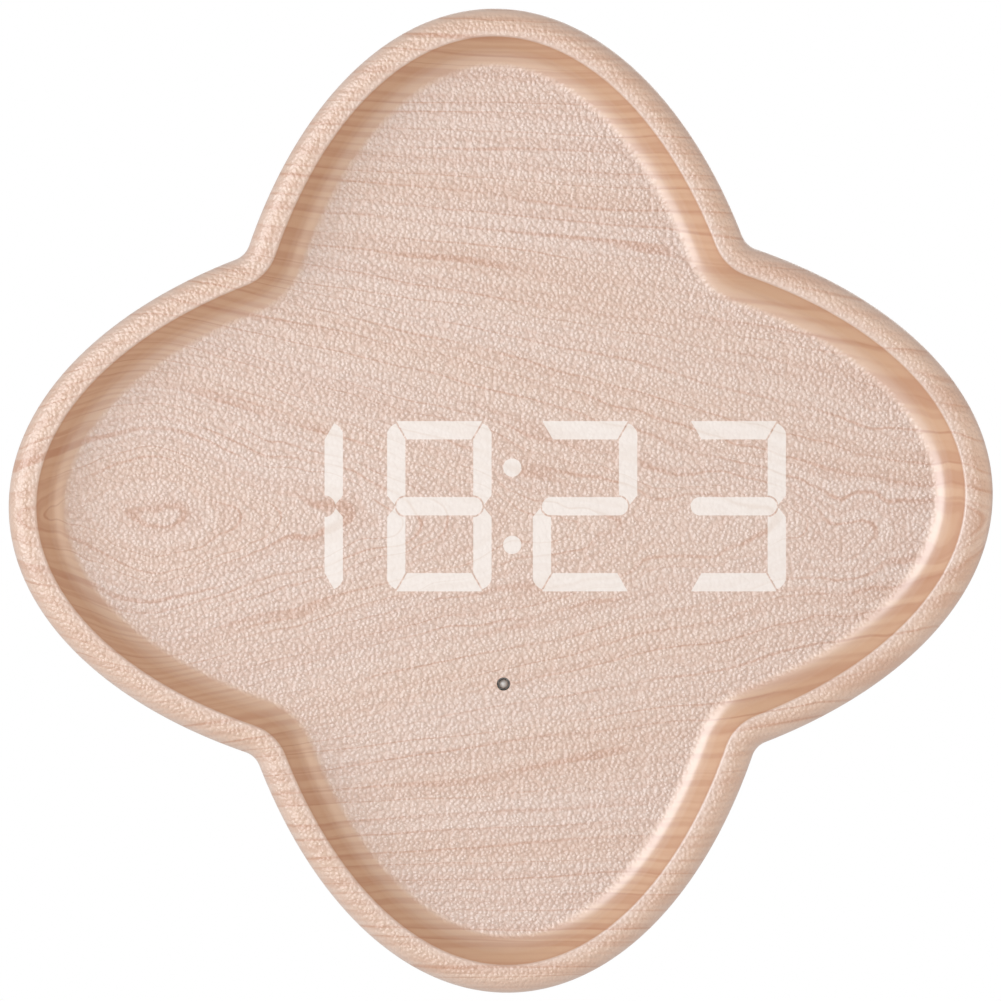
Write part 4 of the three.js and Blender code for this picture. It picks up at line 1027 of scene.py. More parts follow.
RED_WIRE = MouldedFinish("red insulation", (0.42, 0.025, 0.02), 0.36, 0.3, 0.25)
BLACK_WIRE = MouldedFinish("black insulation", (0.02, 0.02, 0.02), 0.36, 0.3, 0.25)
RIBBON = MouldedFinish("ribbon insulation", (0.33, 0.34, 0.36), 0.42, 0.4, 0.3)
CLEAR = ClearFinish("clear epoxy")


class Wardrobe:
    """Makes each finish once and hands out its material."""

    def __init__(self) -> None:
        """Starts with nothing made."""
        self.made: dict[str, Material] = {}

    def dress(self, piece: Object, finish: Finish) -> None:
        """Gives a piece its finish, in place of what it wears.

        Args:
            piece: the piece.
            finish: the finish.
        """
        if finish.name not in self.made:
            self.made[finish.name] = finish.material()
        piece.data.materials.clear()
        piece.data.materials.append(self.made[finish.name])


# The clock's own sub-assemblies


def middle_of(node: str) -> Vector:
    """Gives the middle of a solid's box."""
    low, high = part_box(node)
    return (low + high) / 2


def reach_of(node: str) -> tuple[float, float, Vector]:
    """Gives the depths where a solid's box starts and ends, and its middle."""
    low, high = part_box(node)
    return low.y, high.y, middle_of(node)


def screws(kind: str) -> list[str]:
    """Gives the names of the screws of one kind."""
    return [f"{kind}_screw_{index}" for index in range(1, SCREWS[kind] + 1)]


@dataclass
class SubAssembly:
    """What all sub-assemblies share: the wardrobe, and how a piece is fastened and reported."""

    wardrobe: Wardrobe

    def fasten(self, piece: Object, finish: Finish, slot: str, *nodes: str, body: str = CLOCK_BODY) -> None:
        """Dresses a new piece and ties it to its body and the solids that it stands for.

        Args:
            piece: the piece.
            finish: its finish.
            slot: the name of its material slot; it is not used.
            nodes: the solids that it stands for.
            body: the body that it moves with.
        """
        self.wardrobe.dress(piece, finish)
        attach(piece, body)
        if nodes:
            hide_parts(*nodes)
        log.info("%s: %d faces, on %s", piece.name, len(piece.data.polygons), body)

    def keep(self, finish: Finish, *nodes: str) -> None:
        """Dresses solids that stay as they are.

        Args:
            finish: their finish.
            nodes: their names.
        """
        for node in nodes:
            self.wardrobe.dress(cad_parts[node], finish)
            log.info("%s: kept, %s", node, finish.name)


@dataclass(frozen=True)
class Layer:
    """One ring of the front profile: where it lies, and what the film's surface is like there."""

    inset: float
    y: float
    wall: float
    emboss: float
    gloss: float = 0.0


@dataclass(frozen=True)
class Fade:
    """A soft change from one value to another over the first part of an arc."""

    start: float
    end: float
    part: float = 1.0

    def at(self, share: float) -> float:
        """Gives the value at a share of the arc."""
        t = min(1.0, share / self.part)
        return self.start + (self.end - self.start) * t * t * (3 - 2 * t)


@dataclass(frozen=True)
class FrontProfile:
    """The section from the dish floor over its cove, wall and rim to the outer side."""

    depth: float = 34 * MM
    rim_width: float = 8.4 * MM
    rim_round: float = 5.4 * MM
    edge_radius: float = 0.8 * MM
    dish_depth: float = 11 * MM
    draft: float = math.radians(30)
    cove_radius: float = 7 * MM
    cove_steps: int = 14
    # each ring's share of the way up the wall, and its wall value; above 1 it paints shade under the rim's
    # inner edge
    wall_tint_and_shade_rings: tuple[Point, ...] = ((0.3, 1.0), (0.6, 1.05), (0.86, 1.2), (0.95, 1.5))
    edge_steps: int = 5
    round_steps: int = 14
    cove_look: tuple[Fade, ...] = (Fade(0.0, 1.0, 0.4), Fade(1.0, 0.0, 0.5), Fade(0.0, 1.0, 0.3))
    # the edge stays pale so that its gloss shows as a bright line, in part a painted highlight
    edge_look: tuple[Fade, ...] = (Fade(0.15, 0.2), Fade(0.0, 0.5), Fade(1.0, 0.2))
    # painted shade and sheen: the rim's face takes half of the wall's browner colour, its round-over and
    # the side little of it
    rim_look: tuple[Fade, ...] = (Fade(0.5, 0.04), Fade(0.7, 0.15))
    side_look: Point = (0.1, 0.1)

    def floor_y(self) -> float:
        """Gives the depth of the dish floor."""
        return self.dish_depth - self.depth

    def layers(self, under: float, end_y: float) -> list[Layer]:
        """Gives the rings of the profile, at a distance under the outer surface.

        Args:
            under: the distance under the surface.
            end_y: the depth where the side ends.

        Returns:
            The rings, from the floor outwards.
        """
        sine, cosine = math.sin(self.draft), math.cos(self.draft)
        cove_y = self.floor_y() - self.cove_radius
        cove_in = self.rim_width + (self.cove_radius + (cove_y + self.depth) * sine) / cosine
        edge_y = self.edge_radius - self.depth
        edge_in = self.rim_width - self.edge_radius * (1 - sine) / cosine
        found = []

        def arc(centre: Point, radius: float, start: float, end: float, steps: int, *look: Fade) -> None:
            """Adds the rings of one arc.

            Args:
                centre: the inset and the depth of its centre.
                radius: its radius.
                start: the angle where it starts.
                end: the angle where it ends.
                steps: how many steps it has.
                look: how its wall tint, its emboss and its gloss change.
            """
            for i in range(steps + 1):
                share = i / steps
                angle = start + (end - start) * share
                found.append(Layer(
                    centre[0] + radius * math.cos(angle),
                    centre[1] + radius * math.sin(angle),
                    *(fade.at(share) for fade in look),
                ))

        quarter = math.pi / 2
        cove = (cove_in, cove_y), self.cove_radius + under, quarter, math.pi - self.draft, self.cove_steps
        arc(*cove, *self.cove_look)
        foot = found[-1]
        edge_radius = self.edge_radius - under
        head_in = edge_in + edge_radius * math.cos(self.draft)
        head_y = edge_y - edge_radius * math.sin(self.draft)
        for share, wall in self.wall_tint_and_shade_rings:
            inset = foot.inset + (head_in - foot.inset) * share
            found.append(Layer(inset, foot.y + (head_y - foot.y) * share, wall, 0.0))
        edge = (edge_in, edge_y), edge_radius, -self.draft, -quarter, self.edge_steps
        arc(*edge, *self.edge_look)
        rim_in, rim_y = self.rim_round, self.rim_round - self.depth
        rim = (rim_in, rim_y), self.rim_round - under, -quarter, -math.pi, self.round_steps
        arc(*rim, *self.rim_look)
        found.append(Layer(under, end_y, *self.side_look))
        return found


class Segment(Enum):
    """The seven segments of a digit."""

    TOP = "top"
    MIDDLE = "middle"
    BOTTOM = "bottom"
    UPPER_LEFT = "upper left"
    UPPER_RIGHT = "upper right"
    LOWER_LEFT = "lower left"
    LOWER_RIGHT = "lower right"


LIT_SEGMENTS: dict[int, tuple[Segment, ...]] = {
    1: (Segment.UPPER_RIGHT, Segment.LOWER_RIGHT),
    2: (Segment.TOP, Segment.UPPER_RIGHT, Segment.MIDDLE, Segment.LOWER_LEFT, Segment.BOTTOM),
    3: (Segment.TOP, Segment.UPPER_RIGHT, Segment.MIDDLE, Segment.LOWER_RIGHT, Segment.BOTTOM),
    8: tuple(Segment),
}


@dataclass(frozen=True)
class Digits:
    """The seven-segment digits and the colon, as the viewer sees them in the film."""

    height: float = 52 * MM
    width: float = 31.9 * MM
    stroke: float = 5.6 * MM
    pair_pitch: float = 45.4 * MM
    middle_pitch: float = 44.5 * MM
    shift_x: float = 3.5 * MM
    shift_z: float = -1.7 * MM
    gap: float = 0.5 * MM
    mitre_inset: float = 2.6 * MM
    mitre: float = math.radians(30)
    apex_drop: float = 0.7 * MM
    corner_drop: float = 3.6 * MM
    corner_pull: float = 0.45
    slant_rise: float = 3.3 * MM
    bar_inset: float = 2.8 * MM
    dot: float = 5.6 * MM
    dot_spacing: float = 23.6 * MM
    curve_steps: int = 8
    nest_steps: int = 12
    shown: tuple[int, ...] = (1, 8, 2, 3)

    def top(self) -> list[Point]:
        """Gives the top segment about the digit's middle.

        Returns:
            Its corners.
        """
        w, h = self.width / 2, self.height / 2
        slope = math.tan(self.mitre)
        half = self.gap / 2 / math.cos(self.mitre)
        outer = w - self.mitre_inset - half
        inner = outer - self.stroke * slope
        return [(-outer, h), (-inner, h - self.stroke), (inner, h - self.stroke), (outer, h)]

    def middle(self) -> list[Point]:
        """Gives the middle segment, a bar with round ends.

        Returns:
            Its points.
        """
        radius = self.stroke / 2
        length = self.width - 2 * self.bar_inset
        return RoundedBox(length, self.stroke, radius, steps=10).points()

    def upper_left(self) -> list[Point]:
        """Gives the upper left segment about the digit's middle.

        Returns:
            Its points.
        """
        w, h = self.width / 2, self.height / 2
        slope = math.tan(self.mitre)
        half = self.gap / 2 / math.cos(self.mitre)
        radius = self.stroke / 2
        bar_x = w - self.bar_inset - radius
        nest = radius + self.gap
        inner_x = -w + self.stroke
        inner_top = h - (self.stroke - self.mitre_inset + half) / slope
        apex = (-w + self.mitre_inset + self.apex_drop * slope - half, h - self.apex_drop)
        corner = (-w, h - self.corner_drop)
        ease = (1 - self.corner_pull) / 2
        pull = (-w + (apex[0] + w) * ease, h - self.apex_drop - (self.corner_drop - self.apex_drop) * ease)
        found = [(inner_x, inner_top), apex]
        for i in range(1, self.curve_steps + 1):
            t = i / self.curve_steps
            found.append(tuple(
                (1 - t) ** 2 * a + 2 * t * (1 - t) * p + t * t * c for a, p, c in zip(apex, pull, corner)
            ))
        found += [(-w, self.slant_rise), (-bar_x - nest, self.gap)]
        start = math.pi - math.asin(self.gap / nest)
        for i in range(self.nest_steps + 1):
            angle = start + (math.pi / 2 - start) * i / self.nest_steps
            found.append((-bar_x + nest * math.cos(angle), nest * math.sin(angle)))
        return found

    def segment(self, kind: Segment) -> list[Point]:
        """Gives one segment about the digit's middle.

        Args:
            kind: which segment.

        Returns:
            Its points.
        """
        if kind is Segment.MIDDLE:
            return self.middle()
        if kind in (Segment.TOP, Segment.BOTTOM):
            sign = 1 if kind is Segment.TOP else -1
            return [(x, sign * z) for x, z in self.top()]
        sign_x = 1 if kind in (Segment.UPPER_LEFT, Segment.LOWER_LEFT) else -1
        sign_z = 1 if kind in (Segment.UPPER_LEFT, Segment.UPPER_RIGHT) else -1
        return [(sign_x * x, sign_z * z) for x, z in self.upper_left()]

    def centres(self) -> list[float]:
        """Gives the middle of each digit along x.

        Returns:
            The four places, from the left.
        """
        near = self.middle_pitch / 2
        far = near + self.pair_pitch
        return [self.shift_x + x for x in (-far, -near, near, far)]

    def groups(self) -> dict[str, list[Poly | Round]]:
        """Gives the lit shapes, each group under the name of its piece.

        Returns:
            The shapes of every digit and of the colon.
        """
        found: dict[str, list[Poly | Round]] = {}
        for place, (number, centre) in enumerate(zip(self.shown, self.centres()), start=1):
            shapes = []
            for kind in LIT_SEGMENTS[number]:
                corners = ((centre + x, self.shift_z + z) for x, z in self.segment(kind))
                shapes.append(Poly(tuple(corners)))
            found[f"lit_digit_{place}"] = shapes
        half = self.dot_spacing / 2
        found["lit_colon"] = [Round(self.dot, self.shift_x, self.shift_z + side * half) for side in (1, -1)]
        return found


@dataclass
class FilmSkin(SubAssembly):
    """The grain film over the whole front, with its lit digits and the sensor's hole."""

    outline: Outline
    profile: FrontProfile
    digits: Digits
    thickness: float = 0.35 * MM
    back_margin: float = 0.5 * MM
    guard: float = 0.4 * MM
    sensor_hole: float = 4 * MM

    def build(self) -> None:
        """Makes the film and the lit shapes, which lie flush in it."""
        floor_y = self.profile.floor_y()
        shell = Shell("film_skin")
        layers = self.profile.layers(0.0, -self.back_margin)
        inner = shell.loop(self.outline, floor_y, -layers[0].inset - self.guard)
        shell.mark(inner, 0.0, 1.0)
        sensor = middle_of("light_sensor")
        holes = [shell.loop(Round(self.sensor_hole, sensor.x, sensor.z), floor_y)]
        groups = self.digits.groups()
        for shapes in groups.values():
            holes += [shell.loop(shape, floor_y) for shape in shapes]
        for hole in holes:
            shell.mark(hole, 0.0, 1.0)
            for edge in hole.edges:
                edge.smooth = False
        shell.flat(inner, *holes, crease=False)
        ring = inner
        for layer in layers:
            ring = shell.to(ring, layer.y, -layer.inset)
            shell.mark(ring, layer.wall, layer.emboss, layer.gloss)
        film = self.thickened(shell.finish(sheet=True))
        self.fasten(film, GRAIN, "wood_film", "grain_film")
        for name, shapes in groups.items():
            self.fasten(self.lit_shapes(name, shapes, floor_y), LIT, "lit_film")

    def lit_shapes(self, name: str, shapes: list[Poly | Round], y: float) -> Object:
        """Makes the lit shapes of one digit or of the colon.

        Args:
            name: the name of the piece.
            shapes: its flat shapes.
            y: the depth of the film's surface.

        Returns:
            The piece.
        """
        shell = Shell(name)
        for shape in shapes:
            ring = shell.loop(shape, y)
            shell.mark(ring, 0.0, 1.0)
            shell.flat(ring)
        return self.thickened(shell.finish(sheet=True))

    def thickened(self, piece: Object) -> Object:
        """Gives a skin the film's thickness, away from the viewer.

        Args:
            piece: the skin.

        Returns:
            The same piece.
        """
        solid = piece.modifiers.new("thickness", "SOLIDIFY")
        solid.thickness = self.thickness
        solid.offset = -1.0
        solid.use_even_offset = True
        return piece


@dataclass
class WoodCore(SubAssembly):
    """The routed fibreboard block behind the film."""

    outline: Outline
    profile: FrontProfile
    digits: Digits
    skin: float = 0.55 * MM
    floor: float = 4 * MM
    side_wall: float = 14 * MM
    ledge: float = 7 * MM
    ledge_y: float = -3 * MM
    edge: float = 0.3 * MM
    window: Point = (173.2 * MM, 58 * MM)
    window_corner: float = 1.5 * MM
    pilot: float = 3.1 * MM
    pilot_y: float = -13 * MM
    sensor_hole: float = 4 * MM

    def build(self) -> None:
        """Makes the block with its rear cavity, ledge, window and pilot holes."""
        shell = Shell("wood_core")
        layers = self.profile.layers(self.skin, -self.edge)
        front_y, cavity_y = layers[0].y, layers[0].y + self.floor
        sensor = middle_of("light_sensor")
        through = [
            RoundedBox(*self.window, self.window_corner, self.digits.shift_x, self.digits.shift_z),
            Round(self.sensor_hole, sensor.x, sensor.z),
        ]
        front = shell.loop(self.outline, front_y, -layers[0].inset)
        ring = front
        for layer in layers[1:]:
            ring = shell.to(ring, layer.y, -layer.inset)
        opening = self.ledge - self.side_wall
        ring = shell.path(
            ring, (0.0, -self.skin - self.edge), (0.0, opening + self.edge), (-self.edge, opening),
        )
        ledge_outer = shell.to(ring, self.ledge_y, opening)
        ledge_inner = shell.loop(self.outline, self.ledge_y, -self.side_wall)
        pilots = [
            shell.pit(Round(self.pilot, at.x, at.z, PILOT_SIDES), self.ledge_y, self.pilot_y)
            for at in map(middle_of, screws("cover"))
        ]
        shell.flat(ledge_outer, ledge_inner, *pilots)
        cavity = shell.to(ledge_inner, cavity_y, -self.side_wall)
        front_holes = [shell.loop(shape, front_y) for shape in through]
        rear_holes = [shell.to(hole, cavity_y) for hole in front_holes]
        shell.flat(front, *front_holes)
        shell.flat(cavity, *rear_holes)
        self.fasten(shell.finish(), FIBRE, "fibreboard", "wood_body")


@dataclass
class RearCover(SubAssembly):
    """The moulded cover with its control well, the hanger's pocket and the board's bosses."""

    outline: Outline
    inset: float = 7.3 * MM
    thickness: float = 3 * MM
    edge: float = 0.4 * MM
    break_edge: float = 0.35 * MM
    bend: float = 0.3
    well_size: Triple = (74 * MM, 18 * MM, 2 * MM)
    well_depth: float = 6 * MM
    well_wall: float = 2 * MM
    well_fillet: float = 0.6 * MM
    pocket_size: Triple = (44.6 * MM, 26.6 * MM, 4 * MM)
    pocket_y: float = -2.1 * MM
    pocket_edge: float = 0.25 * MM
    head_well_size: Triple = (13 * MM, 22 * MM, 6.5 * MM)
    head_well_rise: float = 0.5 * MM
    head_well_depth: float = 5 * MM
    screw_hole: float = 3.1 * MM
    screw_rim: float = 6.4 * MM
    screw_rim_y: float = -0.15 * MM
    hanger_pilot: float = 2.4 * MM
    hanger_pilot_y: float = -7.05 * MM
    boss: float = 7 * MM
    boss_y: float = -13.5 * MM
    boss_pilot: float = 2.4 * MM
    boss_pilot_y: float = -6.8 * MM
    hole_edge: float = 0.2 * MM
    cap_hole: float = 7.6 * MM
    slide_slot: Triple = (4.6 * MM, 2.4 * MM, 0.3 * MM)
    socket_hole: Point = (9.6 * MM, 3.9 * MM)
    sound_hole: float = 1.6 * MM
    sound_circle: float = 6 * MM
    sound_count: int = 6

    def build(self) -> None:
        """Makes the cover as one closed shell."""
        shell = Shell("back_cover")
        outer_back = shell.loop(self.outline, 0.0, -self.inset - self.edge)
        outer_front = shell.path(outer_back, (-self.edge, -self.inset), (-self.thickness, -self.inset))
        backs, fronts = [outer_back], [outer_front]
        for cut in (self.screw_holes, self.sound_holes, self.control_well, self.pocket, self.bosses):
            back, front = cut(shell)
            backs += back
            fronts += front
        shell.flat(*backs)
        shell.flat(*fronts)
        self.fasten(shell.finish(), COVER, "cover_plastic", "rear_cover")

    def screw_holes(self, shell: Shell) -> Ends:
        """Makes the countersunk holes for the cover's screws.

        Args:
            shell: the cover in the making.

        Returns:
            Its loops in the back and in the front of the cover.
        """
        flare = (self.screw_rim - self.screw_hole) / 2
        rim_y = self.screw_rim_y
        backs, fronts = [], []
        for at in map(middle_of, screws("cover")):
            back = shell.loop(Round(self.screw_hole, at.x, at.z, SCREW_SIDES), 0.0, flare)
            backs.append(back)
            fronts.append(shell.path(back, (rim_y, flare), (rim_y - flare, 0.0), (-self.thickness, 0.0)))
        return backs, fronts

    def sound_holes(self, shell: Shell) -> Ends:
        """Makes the ring of holes over the buzzer.

        Args:
            shell: the cover in the making.

        Returns:
            Its loops in the back and in the front of the cover.
        """
        buzzer = middle_of("buzzer")
        radius = self.sound_circle / 2
        ends = []
        for index in range(self.sound_count):
            angle = 2 * math.pi * index / self.sound_count
            x, z = buzzer.x + radius * math.cos(angle), buzzer.z + radius * math.sin(angle)
            hole = Round(self.sound_hole, x, z, PILOT_SIDES)
            ends.append(shell.bore(hole, 0.0, -self.thickness, self.hole_edge))
        backs, fronts = zip(*ends)
        return list(backs), list(fronts)

    def control_well(self, shell: Shell) -> Ends:
        """Sinks the well for the controls, in a tub that stands out at the front.

        Args:
            shell: the cover in the making.

        Returns:
            Its loops in the back and in the front of the cover.
        """
        shape = RoundedBox(*self.well_size, 0.0, middle_of("set_button").z)
        rim = shell.loop(shape, 0.0, self.break_edge)
        bend, fillet = self.bend, self.well_fillet
        floor = shell.path(
            rim,
            (-self.break_edge * bend, self.break_edge * bend),
            (-self.break_edge, 0.0),
            (fillet - self.well_depth, 0.0),
            (fillet * bend - self.well_depth, -fillet * bend),
            (-self.well_depth, -fillet),
        )
        tub_y = -self.well_depth - self.well_wall
        holes = [shell.bore(hole, -self.well_depth, tub_y, self.hole_edge) for hole in self.control_holes()]
        shell.flat(floor, *(mouth for mouth, _ in holes))
        tub = shell.loop(shape, -self.thickness, self.well_wall)
        shell.flat(shell.to(tub, tub_y, self.well_wall), *(end for _, end in holes))
        return [rim], [tub]

    def control_holes(self) -> list[Shape]:
        """Gives the holes in the well's floor: buttons, slide switch and charging socket.

        Returns:
            The holes' shapes.
        """
        caps = (middle_of(f"{name}_button") for name in BUTTON_NAMES)
        slide, socket = middle_of("power_switch"), middle_of("charging_socket")
        width, height = self.socket_hole
        return [
            *(Round(self.cap_hole, at.x, at.z) for at in caps),
            RoundedBox(*self.slide_slot, slide.x, slide.z, steps=3),
            RoundedBox(width, height, height / 2, socket.x, socket.z, steps=10),
        ]

    def pocket(self, shell: Shell) -> Ends:
        """Sinks the hanger's pocket, with the well for a screw head and two pilot holes.

        Args:
            shell: the cover in the making.

        Returns:
            Its loops in the back and in the front of the cover.
        """
        plate = middle_of("hanger_plate")
        shape = RoundedBox(*self.pocket_size, 0.0, plate.z)
        rim, floor = shell.bore(shape, 0.0, self.pocket_y, self.pocket_edge)
        head = RoundedBox(*self.head_well_size, plate.x, plate.z + self.head_well_rise, steps=12)
        head_well = shell.loop(head, self.pocket_y)
        pilots = [
            shell.pit(Round(self.hanger_pilot, at.x, at.z, PILOT_SIDES), self.pocket_y, self.hanger_pilot_y)
            for at in map(middle_of, screws("hanger"))
        ]
        shell.flat(floor, head_well, *pilots)
        end_y = self.pocket_y - self.head_well_depth
        shell.flat(shell.to(head_well, end_y))
        block = shell.loop(shape, -self.thickness, self.well_wall)
        shell.flat(shell.to(block, end_y - self.well_wall, self.well_wall))
        return [rim], [block]

    def bosses(self, shell: Shell) -> Ends:
        """Raises the bosses that carry the control board, each with its pilot hole.

        Args:
            shell: the cover in the making.

        Returns:
            Its loops in the back and in the front of the cover.
        """
        roots = []
        for at in map(middle_of, screws("board")):
            root = shell.loop(Round(self.boss, at.x, at.z, SCREW_SIDES), -self.thickness)
            top = shell.to(root, self.boss_y)
            hole = Round(self.boss_pilot, at.x, at.z, PILOT_SIDES)
            shell.flat(top, shell.pit(hole, self.boss_y, self.boss_pilot_y))
            roots.append(root)
        return [], roots


@dataclass
class Hanger(SubAssembly):
    """The steel plate that hangs on a wall screw, and its two screws."""

    width: float = 44 * MM
    height: float = 26 * MM
    corner: float = 4 * MM
    front_y: float = -2.1 * MM
    back_y: float = -0.6 * MM
    edge: float = 0.15 * MM
    entry: float = 9.6 * MM
    slot: float = 4 * MM
    rise: float = 9 * MM
    drop: float = 4 * MM
    hole: float = 2.4 * MM
    rim: float = 5.2 * MM
    rim_y: float = -0.75 * MM

    def build(self) -> None:
        """Makes the plate with its keyhole and countersunk holes."""
        at = middle_of("hanger_plate")
        shell = Shell("keyhole_plate")
        plate = RoundedBox(self.width, self.height, self.corner, at.x, at.z, steps=10)
        keyhole = Keyhole(self.entry, self.slot, self.rise, at.x, at.z - self.drop)
        ends = []
        for shape, way in ((plate, -1), (keyhole, 1)):
            back = shell.loop(shape, self.back_y, way * self.edge)
            front = shell.path(
                back,
                (self.back_y - self.edge, 0.0),
                (self.front_y + self.edge, 0.0),
                (self.front_y, way * self.edge),
            )
            ends.append((back, front))
        flare = (self.rim - self.hole) / 2
        for screw in map(middle_of, screws("hanger")):
            back = shell.loop(Round(self.hole, screw.x, screw.z, SCREW_SIDES), self.back_y, flare)
            front_flare = flare - (self.rim_y - self.front_y)
            ends.append((back, shell.path(back, (self.rim_y, flare), (self.front_y, front_flare))))
        shell.flat(*(back for back, _ in ends))
        shell.flat(*(front for _, front in ends))
        self.fasten(shell.finish(), ZINC, "zinc_steel", "hanger_plate")


@dataclass(frozen=True)
class ScrewSize:
    """The sizes of one kind of countersunk screw."""

    head: float
    shank: float
    length: float
    top_y: float
    lip: float = 0.12 * MM


@dataclass
class Fasteners(SubAssembly):
    """The countersunk screws that show on the back."""

    cover: ScrewSize = ScrewSize(5.6 * MM, 2.9 * MM, 12 * MM, -0.15 * MM)
    hanger: ScrewSize = ScrewSize(4.4 * MM, 2.2 * MM, 6 * MM, -0.75 * MM)
    recess_reach: float = 0.62
    recess_arm: float = 0.17
    recess_depth: float = 0.28
    recess_taper: float = 0.035
    lip_rise: float = 0.3
    lip_run: float = 0.2

    def screw(self, node: str, size: ScrewSize) -> None:
        """Makes one screw where its solid is.

        Args:
            node: the name of the solid.
            size: the screw's sizes.
        """
        at = middle_of(node)
        shell = Shell(f"{node}_turned")
        grow = (size.head - size.shank) / 2
        tip = -size.shank / 4
        shank = Round(size.shank, at.x, at.z, SCREW_SIDES)
        end = shell.loop(shank, size.top_y - size.length, tip)
        shell.flat(end)
        rim = shell.path(
            end,
            (size.top_y - size.length + size.shank / 2, 0.0),
            (size.top_y - grow, 0.0),
            (size.top_y - size.lip, grow),
            (size.top_y - size.lip * self.lip_rise, grow - size.lip * self.lip_run),
            (size.top_y, grow - size.lip),
        )
        recess = Cross(size.head * self.recess_reach, size.head * self.recess_arm, at.x, at.z)
        depth = size.head * self.recess_depth
        taper = size.head * self.recess_taper
        shell.flat(rim, shell.pit(recess, size.top_y, size.top_y - depth, -taper))
        self.fasten(shell.finish(), SCREW, "screw_steel", node)

    def build(self) -> None:
        """Makes the eight cover screws and the two hanger screws."""
        for kind, size in (("cover", self.cover), ("hanger", self.hanger)):
            for node in screws(kind):
                self.screw(node, size)


class Mark(Enum):
    """The mark on a button's cap. Its value is the way that an arrow points, or 0 for a dot."""

    DOT = 0
    ARROW_UP = 1
    ARROW_DOWN = -1

    def shape(self, size: float, x: float, z: float) -> Shape:
        """Gives the mark's flat shape.

        Args:
            size: its height.
            x: its middle.
            z: its middle.

        Returns:
            The shape.
        """
        if self is Mark.DOT:
            return Round(size * DOT_SHARE, x, z, SCREW_SIDES)
        half, tip = size * ARROW_SHARE, self.value * size / 2
        return Poly(tuple((x + dx, z + dz) for dx, dz in ((-half, -tip), (half, -tip), (0.0, tip))))


